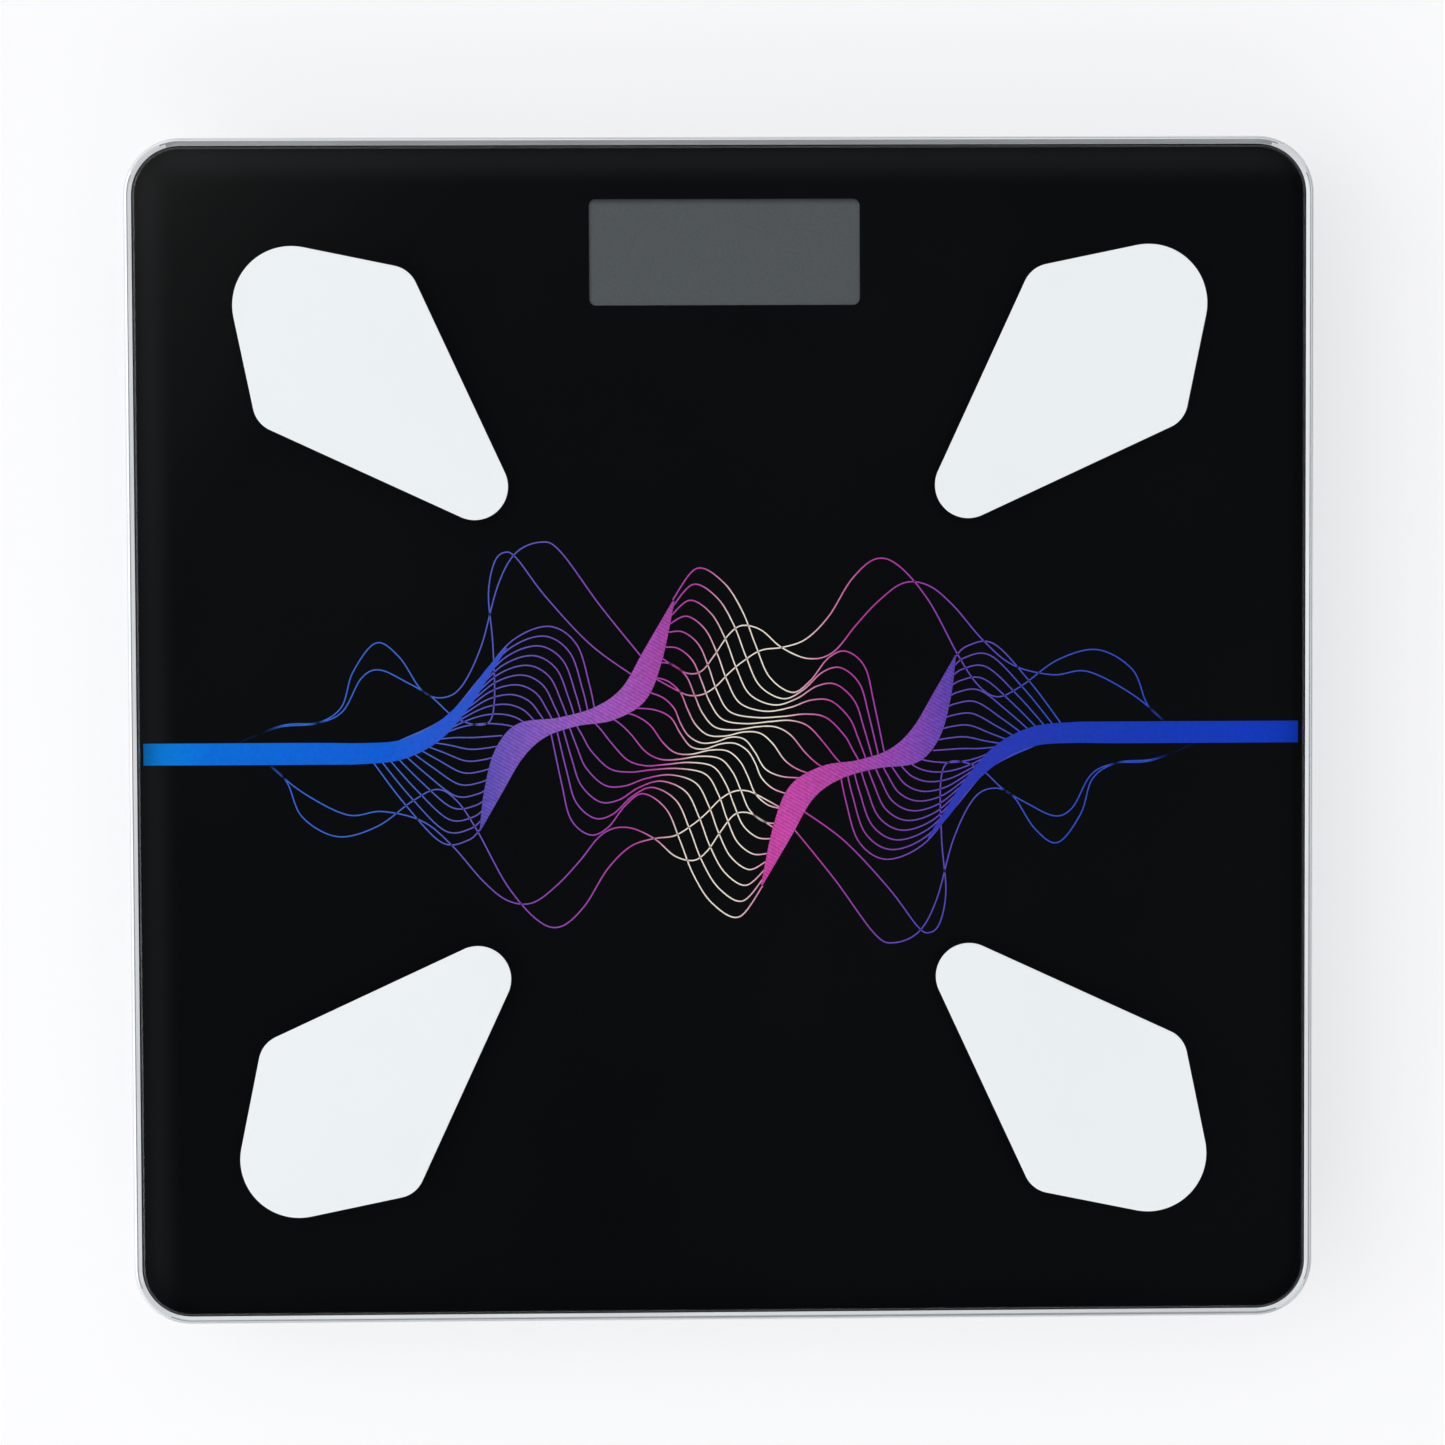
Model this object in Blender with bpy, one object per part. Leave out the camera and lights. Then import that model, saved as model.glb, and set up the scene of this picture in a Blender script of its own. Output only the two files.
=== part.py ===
"""Glass-topped digital bathroom scale with four foot-sole electrodes.

A square tempered-glass platform is taped into the rim of a moulded base shell. The shell holds a
load cell and a sprung foot at each corner, a display board under the glass, a battery bay with a
hinged door and a unit button on the underside.

Frame: metres, +Z up, X to the right, +Y towards the display. The origin is on the floor, under
the middle of the platform.
"""

import math

import bmesh
import bpy
from mathutils import Vector

MM = 0.001

# ---------------------------------------------------------------- driving dimensions
GAP = 0.3 * MM                    # clearance kept between touching pieces
OVERSHOOT = 1.0 * MM              # how far a cutter reaches past what it cuts
BLEND_IN = 4.0 * MM               # flat run kept beside a rounded inner edge

# casing and platform
CASE_SIZE = 260.0 * MM            # outer width and depth of the square rim
CASE_CORNER_R = 12.5 * MM
RIM_WALL = 1.8 * MM               # rim around the glass, seen from above
RIM_STEP = 0.4 * MM               # how far the rim stays below the glass
RIM_BAND = 6.6 * MM               # upright part of the rim
SLOPE_RUN = 10.0 * MM             # how far the side draws in below the rim
SIDE_WALL = 2.8 * MM              # sloping side wall, measured level
LEDGE_WIDTH = 3.2 * MM            # shelf that carries the glass
FLOOR_T = 2.0 * MM                # bottom plate of the shell
CORNER_R_MIN = 2.0 * MM
UNDERSIDE_EDGE_R = 3.0 * MM        # roundings of the casing's section, from below upwards
SHOULDER_EDGE_R = 4.0 * MM
RIM_EDGE_R = (1.2 * MM, 0.2 * MM)
FLOOR_EDGE_R = 1.5 * MM
GLASS_T = 5.0 * MM
GLASS_CHAMFER = 0.5 * MM
TAPE_T = 0.8 * MM
TAPE_MARGIN = 0.6 * MM            # ledge left bare beside the tape

# electrodes: a belt outline round four circles, laid along each diagonal of the platform
ELECTRODE_T = 0.4 * MM
ELECTRODE_INSET = 51.6 * MM       # casing's square corner to the round outer end, on the diagonal
ELECTRODE_END_R = 12.9 * MM
SHOULDER_ALONG = 13.4 * MM        # shoulders and tip, measured inwards from the round end
SHOULDER_ACROSS = 16.5 * MM
SHOULDER_R = 6.5 * MM
TIP_ALONG = 55.9 * MM
TIP_R = 7.3 * MM
STUD_FROM_END = 40.2 * MM
STUD_R = 1.5 * MM
STUD_BELOW_GLASS = 1.6 * MM

# display
DISPLAY_INSET = 25.5 * MM         # casing's back side to the window's middle
WINDOW_SIZE = (60.0 * MM, 24.0 * MM)
LCD_MARGIN = (3.0 * MM, 2.5 * MM)     # panel hidden behind the print, each side
LCD_T = 2.0 * MM
DIFFUSER_T = 2.3 * MM
HOLDER_WALL = (3.4 * MM, 1.9 * MM)
HOLDER_CORNER_R = 1.0 * MM
ZEBRA_WIDTH = 2.0 * MM

# main board
BOARD_SIZE = (100.0 * MM, 39.0 * MM)
BOARD_T = 1.6 * MM
BOARD_CORNER_R = 1.5 * MM
BOARD_FRONT_BELOW_DISPLAY = 22.5 * MM   # from the display's middle to the board's front edge
BOARD_SCREW_INSET = (4.0 * MM, 5.0 * MM)
BOSS_R = 2.5 * MM
SCREW_R = 1.0 * MM
SCREW_HEAD_R = 2.0 * MM
SCREW_HEAD_T = 1.3 * MM
SCREW_LENGTH = 6.0 * MM
SCREW_POINT = 1.0 * MM
CHIPS_BESIDE_HOLDER = 6.3 * MM     # middle of the chips to the holder's side
CONTROLLER_SIZE = (7.0 * MM, 7.0 * MM, 1.4 * MM)
AMPLIFIER_SIZE = (5.0 * MM, 6.0 * MM, 1.5 * MM)
CRYSTAL_SIZE = (10.0 * MM, 4.4 * MM, 3.2 * MM)
CRYSTAL_END_R = 2.1 * MM
CAPACITOR_SIZE = (2.5 * MM, 4.4 * MM)     # radius and height
CAPACITOR_EDGE = 0.3 * MM
CHIP_SHIFTS = {"controller": -2.0 * MM, "amplifier": 4.0 * MM, "crystal": -4.0 * MM,
               "capacitor": 6.5 * MM}      # from the board's middle, towards the display

# feet and load cells
FOOT_INSET = 38.0 * MM            # casing's side to the foot's middle
FOOT_R = 20.8 * MM
FOOT_CLEARANCE = 0.5 * MM         # around the foot in the pocket's mouth
FOOT_BEAD = 1.0 * MM              # snap bead that keeps the foot in
POCKET_WALL = 2.0 * MM
POCKET_ROOF_T = 2.0 * MM
BASE_HEIGHT = 4.0 * MM            # underside of the shell above the floor
PAD_T = 1.6 * MM
PAD_RIM = 3.5 * MM                 # cap's rim round the rubber pad
PAD_EDGE = 0.3 * MM
PAD_PROUD = 1.1 * MM
FOOT_DISC_T = 2.0 * MM
SKIRT_T = 1.8 * MM
SKIRT_ROUND = (1.2 * MM, 0.35 * MM)    # outer lower edge of the foot: reach and middle
BEAD_T = 0.5 * MM
BEAD_RISE = 1.4 * MM               # underside of the bead to the top of the skirt
POST_R = 4.0 * MM
POST_HEIGHT = 4.8 * MM            # above the foot's disc
CELL_SIZE = 32.0 * MM
CELL_CORNER_R = 4.0 * MM
CELL_CLEARANCE = 1.0 * MM         # load cell's corners to the pocket's wall
CELL_T = 3.0 * MM
CELL_TONGUE_W = 14.0 * MM
CELL_SLOT = 2.0 * MM
GAUGE_SIZE = (8.0 * MM, 5.0 * MM, 0.8 * MM)
RAIL_H = 1.2 * MM                 # rails that the load cell bears on
RAIL_W = 3.0 * MM
RAIL_INSET = (0.5 * MM, 3.0 * MM)  # from the load cell's side, and from its ends
CELL_SLOT_ENDS = (6.0 * MM, 7.0 * MM)     # slot's ends to the load cell's front and back
GAUGE_FROM_POST = 1.0 * MM

# battery bay
BATTERY_R = 5.25 * MM             # AAA cell
BATTERY_LENGTH = 44.5 * MM
BATTERY_EDGE = 0.5 * MM
BATTERY_NUB = (1.9 * MM, 1.2 * MM)    # radius and height of the positive cap
BAY_FROM_DISPLAY = 59.5 * MM      # middle of the bay to the middle of the window
BAY_ROOF_T = 1.0 * MM
BAY_WALL = 2.5 * MM
DOOR_T = 1.6 * MM
DOOR_LEDGE = 1.6 * MM
TAB_SIZE = (7.0 * MM, 1.4 * MM, 0.8 * MM)
TAB_SPACING = 28.0 * MM
LATCH_SIZE = (12.0 * MM, 8.0 * MM)
LATCH_SLIT = 0.8 * MM
GRIPS = 3
GRIP_SIZE = (10.0 * MM, 0.8 * MM, 0.4 * MM)
GRIP_START = 2.2 * MM              # door's front edge to the first grip valley
GRIP_PITCH = 1.6 * MM
DOOR_CORNER_R = 1.5 * MM
TAB_SINK = 0.02 * MM               # tabs stay this far below the door's inner face
CONTACT_T = 0.4 * MM
CONTACT_H = 8.0 * MM
CONTACT_MARGIN = 0.8 * MM          # plate's edge inside the cell's radius
TAIL_W = 2.4 * MM                  # solder tail through the bay's end wall
TAIL_PROUD = 1.5 * MM
TAIL_SLOT_EXTRA = 4.0 * MM
SPRING_LENGTH = 3.6 * MM
SPRING_WIRE_R = 0.3 * MM
SPRING_TURNS = 3
SPRING_R = (4.0 * MM, 2.7 * MM)    # seat end and cell end

# unit button
BUTTON_X = 38.0 * MM
BUTTON_R = 4.0 * MM
BUTTON_PROUD = 0.6 * MM
BUTTON_FLANGE = (5.5 * MM, 0.8 * MM)
BUTTON_CLEARANCE = 0.4 * MM
SWITCH_SIZE = 6.0 * MM
PLUNGER_R = 1.7 * MM
PLUNGER_IN_SWITCH = 1.0 * MM
PLUNGER_PROUD = 0.9 * MM
BUTTON_EDGE = 0.5 * MM

# stiffening ribs and wires
RIB_T = 1.5 * MM
RIB_INSET = 22.0 * MM             # casing's front side to the first rib
RIB_ROWS = 4
RIB_COLUMNS = 3
RIB_COLUMN_SPACING = 35.5 * MM
RIB_HEIGHT = 8.0 * MM
RIB_STEP = 0.5 * MM                # columns stay this far below the rows
RIB_FROM_BAY = 12.0 * MM           # last row to the bay's front wall
LEAD_R = 0.7 * MM
LEAD_HOLE_R = 1.6 * MM
LANE_FROM_POCKET = 9.7 * MM       # outer lane of leads, beside the foot pockets
LANE_SPACING = 5.0 * MM

# facets
CORNER_STEPS = 8
TURN_STEPS = 32
SMALL_STEPS = 16
ROUND_STEPS = 24
HOLE_STEPS = 12

# ---------------------------------------------------------------- heights that follow
SHELL_BOTTOM = BASE_HEIGHT
SHELL_FLOOR = SHELL_BOTTOM + FLOOR_T
BATTERY_Z = SHELL_BOTTOM + DOOR_T + GAP + BATTERY_R
BAY_ROOF = BATTERY_Z + BATTERY_R + GAP
BAY_TOP = BAY_ROOF + BAY_ROOF_T
GLASS_BOTTOM = BAY_TOP + 0.8 * MM
GLASS_TOP = GLASS_BOTTOM + GLASS_T
RIM_TOP = GLASS_TOP - RIM_STEP
SLOPE_TOP = RIM_TOP - RIM_BAND
LEDGE_Z = GLASS_BOTTOM - GAP - TAPE_T - GAP
GLASS_SIZE = CASE_SIZE - 2 * (RIM_WALL + GAP)
GLASS_CORNER_R = CASE_CORNER_R - RIM_WALL - GAP
RIB_TOP = SHELL_FLOOR + RIB_HEIGHT

DISPLAY_Y = CASE_SIZE / 2 - DISPLAY_INSET
LCD_TOP = GLASS_BOTTOM - GAP
LCD_BOTTOM = LCD_TOP - LCD_T
DIFFUSER_TOP = LCD_BOTTOM - GAP
DIFFUSER_BOTTOM = DIFFUSER_TOP - DIFFUSER_T
BOARD_TOP = DIFFUSER_BOTTOM - GAP
BOARD_BOTTOM = BOARD_TOP - BOARD_T
BOARD_Y = DISPLAY_Y - BOARD_FRONT_BELOW_DISPLAY + BOARD_SIZE[1] / 2
LCD_SIZE = tuple(w + 2 * m for w, m in zip(WINDOW_SIZE, LCD_MARGIN))

FOOT_DISC_BOTTOM = PAD_T + GAP
FOOT_DISC_TOP = FOOT_DISC_BOTTOM + FOOT_DISC_T
POST_TOP = FOOT_DISC_TOP + POST_HEIGHT
PAD_R = FOOT_R - PAD_RIM
CELL_BOTTOM = POST_TOP + GAP
CELL_TOP = CELL_BOTTOM + CELL_T
POCKET_ROOF = CELL_TOP + GAP + RAIL_H
POCKET_TOP = POCKET_ROOF + POCKET_ROOF_T
POCKET_LIP_TOP = SHELL_BOTTOM + FLOOR_T - 0.1 * MM
FOOT_POS = CASE_SIZE / 2 - FOOT_INSET
MOUTH_R = FOOT_R + FOOT_CLEARANCE
CELL_REACH = CELL_SIZE / math.sqrt(2) - CELL_CORNER_R * (math.sqrt(2) - 1)
POCKET_R = max(MOUTH_R + FOOT_BEAD, CELL_REACH + CELL_CLEARANCE)
POCKET_OUTER_R = POCKET_R + POCKET_WALL

BAY_Y = DISPLAY_Y - BAY_FROM_DISPLAY
BAY_HALF_X = (BATTERY_LENGTH + SPRING_LENGTH + 2 * CONTACT_T + 5 * GAP) / 2
BATTERY_SPACING = 2 * (BATTERY_R + GAP)
BAY_HALF_Y = BATTERY_SPACING / 2 + BATTERY_R + GAP
DOOR_HALF_X = BAY_HALF_X + DOOR_LEDGE
DOOR_HALF_Y = BAY_HALF_Y + DOOR_LEDGE
BAY_OUTER_X = DOOR_HALF_X + GAP + BAY_WALL
BAY_OUTER_Y = DOOR_HALF_Y + GAP + BAY_WALL
BAY_BACK = BAY_Y + BAY_OUTER_Y

STUD_POS = CASE_SIZE / 2 - (ELECTRODE_INSET + STUD_FROM_END) / math.sqrt(2)
LANE_X = FOOT_POS - POCKET_OUTER_R - LANE_FROM_POCKET
INNER_LANE_X = LANE_X - LANE_SPACING

CORNERS = {
    "toe_left": (-1, 1),
    "toe_right": (1, 1),
    "heel_left": (-1, -1),
    "heel_right": (1, -1),
}


# ---------------------------------------------------------------- scene and material helpers
def clear_scene():
    for obj in list(bpy.data.objects):
        bpy.data.objects.remove(obj, do_unlink=True)


def make_material(name, colour, roughness, metallic=0.0):
    mat = bpy.data.materials.new(name)
    mat.use_nodes = True
    shader = mat.node_tree.nodes["Principled BSDF"]
    shader.inputs["Base Color"].default_value = (*colour, 1.0)
    shader.inputs["Roughness"].default_value = roughness
    shader.inputs["Metallic"].default_value = metallic
    mat.diffuse_color = (*colour, 1.0)
    return mat


def add_object(name, bm, mat, location=(0, 0, 0), parent=None, smooth_angle=35):
    """Turn a bmesh into a named, shaded object at its place."""
    mesh = bpy.data.meshes.new(name)
    bm.to_mesh(mesh)
    bm.free()
    obj = bpy.data.objects.new(name, mesh)
    bpy.context.scene.collection.objects.link(obj)
    mesh.materials.append(mat)
    mesh.shade_smooth()
    mesh.set_sharp_from_angle(angle=math.radians(smooth_angle))
    obj.location = location
    if parent is not None:
        obj.parent = parent
    return obj


def add_axis(name, location):
    """Empty that marks a joint's axis; moving pieces hang from it."""
    empty = bpy.data.objects.new(name, None)
    empty.empty_display_size = 0.01
    empty.location = location
    bpy.context.scene.collection.objects.link(empty)
    return empty


def boolean(target, name, bm, operation):
    """Cut or add a solid given in the target's own axes; it stays in the file as a hidden wire."""
    tool = add_object(name, bm, target.data.materials[0], parent=target)
    tool.hide_render = True
    tool.display_type = "WIRE"
    mod = target.modifiers.new(name, "BOOLEAN")
    mod.operation = operation
    mod.solver = "EXACT"
    mod.object = tool


# ---------------------------------------------------------------- outlines
def arc(centre, radius, start, end, steps):
    """Points on an arc, both ends included; angles in radians."""
    cx, cy = centre
    angles = [start + (end - start) * i / steps for i in range(steps + 1)]
    return [(cx + radius * math.cos(a), cy + radius * math.sin(a)) for a in angles]


def rounded_rectangle(half_x, half_y, radius, steps=CORNER_STEPS):
    points = []
    for quarter, (sx, sy) in enumerate(((1, 1), (-1, 1), (-1, -1), (1, -1))):
        centre = (sx * (half_x - radius), sy * (half_y - radius))
        start = quarter * math.pi / 2
        points += arc(centre, radius, start, start + math.pi / 2, steps)
    return points


def rectangle(half_x, half_y, centre=(0, 0)):
    cx, cy = centre
    return [(cx + sx * half_x, cy + sy * half_y) for sx, sy in ((1, 1), (-1, 1), (-1, -1), (1, -1))]


def belt(circles, steps):
    """Outline of a belt pulled tight round circles (x, y, radius) listed anticlockwise."""
    normals = []
    for (x0, y0, r0), (x1, y1, r1) in zip(circles, circles[1:] + circles[:1]):
        distance = math.hypot(x1 - x0, y1 - y0)
        heading = math.atan2(y1 - y0, x1 - x0)
        normals.append(heading - math.acos((r0 - r1) / distance))
    points = []
    for i, (x, y, r) in enumerate(circles):
        start, end = normals[i - 1], normals[i]
        while end < start:
            end += 2 * math.pi
        points += arc((x, y), r, start, end, steps)
    return points


def rounded_path(corners, steps=3):
    """Open path through corners (x, z, fillet radius)."""
    points = [corners[0][:2]]
    for before, here, after in zip(corners, corners[1:], corners[2:]):
        x, z, radius = here
        corner = Vector((x, z))
        back = (Vector(before[:2]) - corner).normalized()
        ahead = (Vector(after[:2]) - corner).normalized()
        if radius <= 0:
            points.append((x, z))
            continue
        half = back.angle(ahead) / 2
        reach = radius / math.tan(half)
        middle = corner + (back + ahead).normalized() * (radius / math.sin(half))
        from_angle = math.atan2(*(corner + back * reach - middle).yx)
        turn = math.atan2(*(corner + ahead * reach - middle).yx) - from_angle
        turn = (turn + math.pi) % (2 * math.pi) - math.pi
        points += arc(middle, radius, from_angle, from_angle + turn, steps)
    points.append(corners[-1][:2])
    return points


# ---------------------------------------------------------------- solids
def add_loop(bm, points):
    return [bm.verts.new(p) for p in points]


def loft(rings, closed=False):
    """Solid through point rings of equal count; capped, or joined end to start when closed."""
    bm = bmesh.new()
    first = add_loop(bm, rings[0])
    face = bm.faces.new(first)
    for ring in rings[1:] + (rings[:1] if closed else []):
        face = bmesh.ops.extrude_discrete_faces(bm, faces=[face])["faces"][0]
        for vert, point in zip(face.verts, ring):
            vert.co = point
    if closed:
        bm.faces.remove(face)
        bmesh.ops.remove_doubles(bm, verts=bm.verts, dist=1e-6)
    else:
        bm.faces.new(first)
    bmesh.ops.recalc_face_normals(bm, faces=bm.faces)
    return bm


def prism(outline, bottom, top, bm=None):
    """Outline pulled straight up; added to bm when one is given."""
    bm = bm or bmesh.new()
    face = bm.faces.new(add_loop(bm, [(x, y, bottom) for x, y in outline]))
    pulled = bmesh.ops.extrude_face_region(bm, geom=[face])
    moved = [g for g in pulled["geom"] if isinstance(g, bmesh.types.BMVert)]
    bmesh.ops.translate(bm, verts=moved, vec=(0, 0, top - bottom))
    bmesh.ops.recalc_face_normals(bm, faces=bm.faces)
    return bm


def block(centre, half, bottom, top, bm=None):
    return prism(rectangle(*half, centre), bottom, top, bm)


def turned(profile, steps, centre=(0, 0), bm=None):
    """Solid of revolution about an upright axis; the profile runs from axis to axis."""
    bm = bm or bmesh.new()
    cx, cy = centre
    verts = [bm.verts.new((cx + r, cy, z)) for r, z in profile]
    edges = [bm.edges.new(pair) for pair in zip(verts, verts[1:])]
    bmesh.ops.spin(
        bm, geom=verts + edges, axis=(0, 0, 1), cent=(cx, cy, 0),
        angle=2 * math.pi, steps=steps, use_merge=True,
    )
    bmesh.ops.remove_doubles(bm, verts=bm.verts, dist=1e-6)
    bmesh.ops.recalc_face_normals(bm, faces=bm.faces)
    return bm


def drum(radius, bottom, top, steps=SMALL_STEPS, centre=(0, 0), bm=None):
    profile = [(0, bottom), (radius, bottom), (radius, top), (0, top)]
    return turned(profile, steps, centre, bm)


def lay_along_x(bm):
    """Turn a solid about Y so that its upright axis points along +X."""
    turn = Vector((0, 0, 1)).rotation_difference(Vector((1, 0, 0))).to_matrix()
    bmesh.ops.rotate(bm, verts=bm.verts, cent=(0, 0, 0), matrix=turn)
    return bm


def wire(name, points, radius, mat, sides=1, samples=2):
    """Round wire on a smooth curve through the points."""
    count = len(points)
    smooth = []
    for i in range(count - 1):
        p0, p1, p2, p3 = (Vector(points[min(max(i + k, 0), count - 1)]) for k in (-1, 0, 1, 2))
        for step in range(samples):
            t = step / samples
            smooth.append(
                0.5 * (2 * p1 + (p2 - p0) * t + (2 * p0 - 5 * p1 + 4 * p2 - p3) * t ** 2
                       + (3 * p1 - p0 - 3 * p2 + p3) * t ** 3)
            )
    smooth.append(Vector(points[-1]))
    curve = bpy.data.curves.new(name, "CURVE")
    curve.dimensions = "3D"
    curve.bevel_depth = radius
    curve.bevel_resolution = sides
    curve.use_fill_caps = True
    spline = curve.splines.new("POLY")
    spline.points.add(len(smooth) - 1)
    for point, place in zip(spline.points, smooth):
        point.co = (*place, 1.0)
    curve.materials.append(mat)
    obj = bpy.data.objects.new(name, curve)
    bpy.context.scene.collection.objects.link(obj)
    return obj


# ---------------------------------------------------------------- casing and platform
def case_ring(inset, z):
    half = CASE_SIZE / 2 - inset
    radius = max(CASE_CORNER_R - inset, CORNER_R_MIN)
    return [(x, y, z) for x, y in rounded_rectangle(half, half, radius)]


def slope_inset(z):
    """Outer inset of the casing at height z, below the rim."""
    return SLOPE_RUN * (SLOPE_TOP - z) / (SLOPE_TOP - SHELL_BOTTOM)


def build_base_shell(mat):
    ledge_inset = RIM_WALL + LEDGE_WIDTH
    knee = SLOPE_TOP - (ledge_inset - SIDE_WALL) * (SLOPE_TOP - SHELL_BOTTOM) / SLOPE_RUN
    floor_inset = slope_inset(SHELL_FLOOR) + SIDE_WALL
    section = rounded_path([
        (SLOPE_RUN + UNDERSIDE_EDGE_R * 2, SHELL_BOTTOM, 0),
        (SLOPE_RUN, SHELL_BOTTOM, UNDERSIDE_EDGE_R),
        (0, SLOPE_TOP, SHOULDER_EDGE_R),
        (0, RIM_TOP, RIM_EDGE_R[0]),
        (RIM_WALL, RIM_TOP, RIM_EDGE_R[1]),
        (RIM_WALL, LEDGE_Z, 0),
        (ledge_inset, LEDGE_Z, 0),
        (ledge_inset, knee, 0),
        (floor_inset, SHELL_FLOOR, FLOOR_EDGE_R),
        (floor_inset + BLEND_IN, SHELL_FLOOR, 0),
    ])
    shell = add_object("base_shell", loft([case_ring(*p) for p in section]), mat)

    towers = bmesh.new()
    pockets = bmesh.new()
    lead_holes = bmesh.new()
    rails = bmesh.new()
    below = SHELL_BOTTOM - OVERSHOOT
    inside_floor = SHELL_BOTTOM + FLOOR_T / 2
    for sx, sy in CORNERS.values():
        centre = (sx * FOOT_POS, sy * FOOT_POS)
        drum(POCKET_OUTER_R, inside_floor, POCKET_TOP, TURN_STEPS, centre, towers)
        pocket = [
            (0, below), (MOUTH_R, below), (MOUTH_R, POCKET_LIP_TOP),
            (POCKET_R, POCKET_LIP_TOP), (POCKET_R, POCKET_ROOF), (0, POCKET_ROOF),
        ]
        turned(pocket, TURN_STEPS, centre, pockets)
        hole = lay_along_x(drum(LEAD_HOLE_R, -POCKET_WALL, POCKET_WALL, HOLE_STEPS))
        wall_x = centre[0] - sx * (POCKET_R + POCKET_WALL / 2)
        place = Vector((wall_x, centre[1], (CELL_BOTTOM + CELL_TOP) / 2))
        bmesh.ops.translate(hole, verts=hole.verts, vec=place)
        merge_into(lead_holes, hole)
        rail_x = CELL_SIZE / 2 - RAIL_INSET[0] - RAIL_W / 2
        for side in (-1, 1):
            rail_centre = (centre[0] + side * rail_x, centre[1])
            rail_half = (RAIL_W / 2, CELL_SIZE / 2 - RAIL_INSET[1])
            block(rail_centre, rail_half, CELL_TOP + GAP, POCKET_ROOF + OVERSHOOT, rails)

    bay = block((0, BAY_Y), (BAY_OUTER_X, BAY_OUTER_Y), inside_floor, BAY_TOP)
    rib_rows = bmesh.new()
    rib_columns = bmesh.new()
    rib_front = RIB_INSET - CASE_SIZE / 2
    rib_back = BAY_Y - BAY_OUTER_Y + OVERSHOOT
    row_half = (INNER_LANE_X - LANE_SPACING, RIB_T / 2)
    for i in range(RIB_ROWS):
        y = rib_front + (rib_back - RIB_FROM_BAY - rib_front) * i / (RIB_ROWS - 1)
        block((0, y), row_half, inside_floor, RIB_TOP, rib_rows)
    column_half = (RIB_T / 2, (rib_back - rib_front) / 2)
    for i in range(RIB_COLUMNS):
        place = ((i - (RIB_COLUMNS - 1) / 2) * RIB_COLUMN_SPACING, (rib_front + rib_back) / 2)
        block(place, column_half, inside_floor, RIB_TOP - RIB_STEP, rib_columns)

    bosses = bmesh.new()
    boss_holes = bmesh.new()
    for x, y in board_screw_places():
        drum(BOSS_R, inside_floor, BOARD_BOTTOM - GAP, SMALL_STEPS, (x, y), bosses)
        bottom = BOARD_TOP + GAP - SCREW_LENGTH - 2 * GAP
        drum(SCREW_R + GAP, bottom, BOARD_TOP, SMALL_STEPS, (x, y), boss_holes)

    boolean(shell, "tool_towers", towers, "UNION")
    boolean(shell, "tool_bay", bay, "UNION")
    boolean(shell, "tool_rib_rows", rib_rows, "UNION")
    boolean(shell, "tool_rib_columns", rib_columns, "UNION")
    boolean(shell, "tool_bosses", bosses, "UNION")
    boolean(shell, "tool_pockets", pockets, "DIFFERENCE")
    boolean(shell, "tool_rails", rails, "UNION")
    boolean(shell, "tool_lead_holes", lead_holes, "DIFFERENCE")
    boolean(shell, "tool_boss_holes", boss_holes, "DIFFERENCE")
    cut_battery_bay(shell)
    button_hole = drum(
        BUTTON_R + BUTTON_CLEARANCE, below, SHELL_FLOOR + OVERSHOOT, ROUND_STEPS,
        (BUTTON_X, DISPLAY_Y),
    )
    boolean(shell, "tool_button_hole", button_hole, "DIFFERENCE")
    return shell


def merge_into(target, source):
    """Move one bmesh's solids into another."""
    holder = bpy.data.meshes.new("holder")
    source.to_mesh(holder)
    source.free()
    target.from_mesh(holder)
    bpy.data.meshes.remove(holder)


def cut_battery_bay(shell):
    below = SHELL_BOTTOM - OVERSHOOT
    centre = (0, BAY_Y)
    boolean(shell, "tool_bay_room",
            block(centre, (BAY_HALF_X, BAY_HALF_Y), below, BAY_ROOF), "DIFFERENCE")
    recess_half = (DOOR_HALF_X + GAP, DOOR_HALF_Y + GAP)
    recess_top = SHELL_BOTTOM + DOOR_T + GAP
    boolean(shell, "tool_door_recess", block(centre, recess_half, below, recess_top), "DIFFERENCE")
    slots = bmesh.new()
    tab_w, tab_l, tab_t = TAB_SIZE
    tab_bottom = SHELL_BOTTOM + DOOR_T - tab_t
    reach = math.hypot(tab_l, DOOR_T)
    slot_y = BAY_Y + DOOR_HALF_Y + GAP
    for side in (-1, 1):
        block((side * TAB_SPACING / 2, slot_y), (tab_w / 2 + 2 * GAP, tab_l + GAP),
              tab_bottom - GAP, SHELL_BOTTOM + reach + GAP, slots)
    boolean(shell, "tool_tab_slots", slots, "DIFFERENCE")
    tails = bmesh.new()
    for side in (-1, 1):
        y = BAY_Y + side * BATTERY_SPACING / 2
        block((BAY_HALF_X + BAY_WALL, y), (BAY_WALL + TAIL_SLOT_EXTRA, TAIL_W / 2 + GAP),
              BATTERY_Z - CONTACT_T / 2 - GAP, BATTERY_Z + CONTACT_T / 2 + GAP, tails)
    boolean(shell, "tool_tail_slots", tails, "DIFFERENCE")


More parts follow.
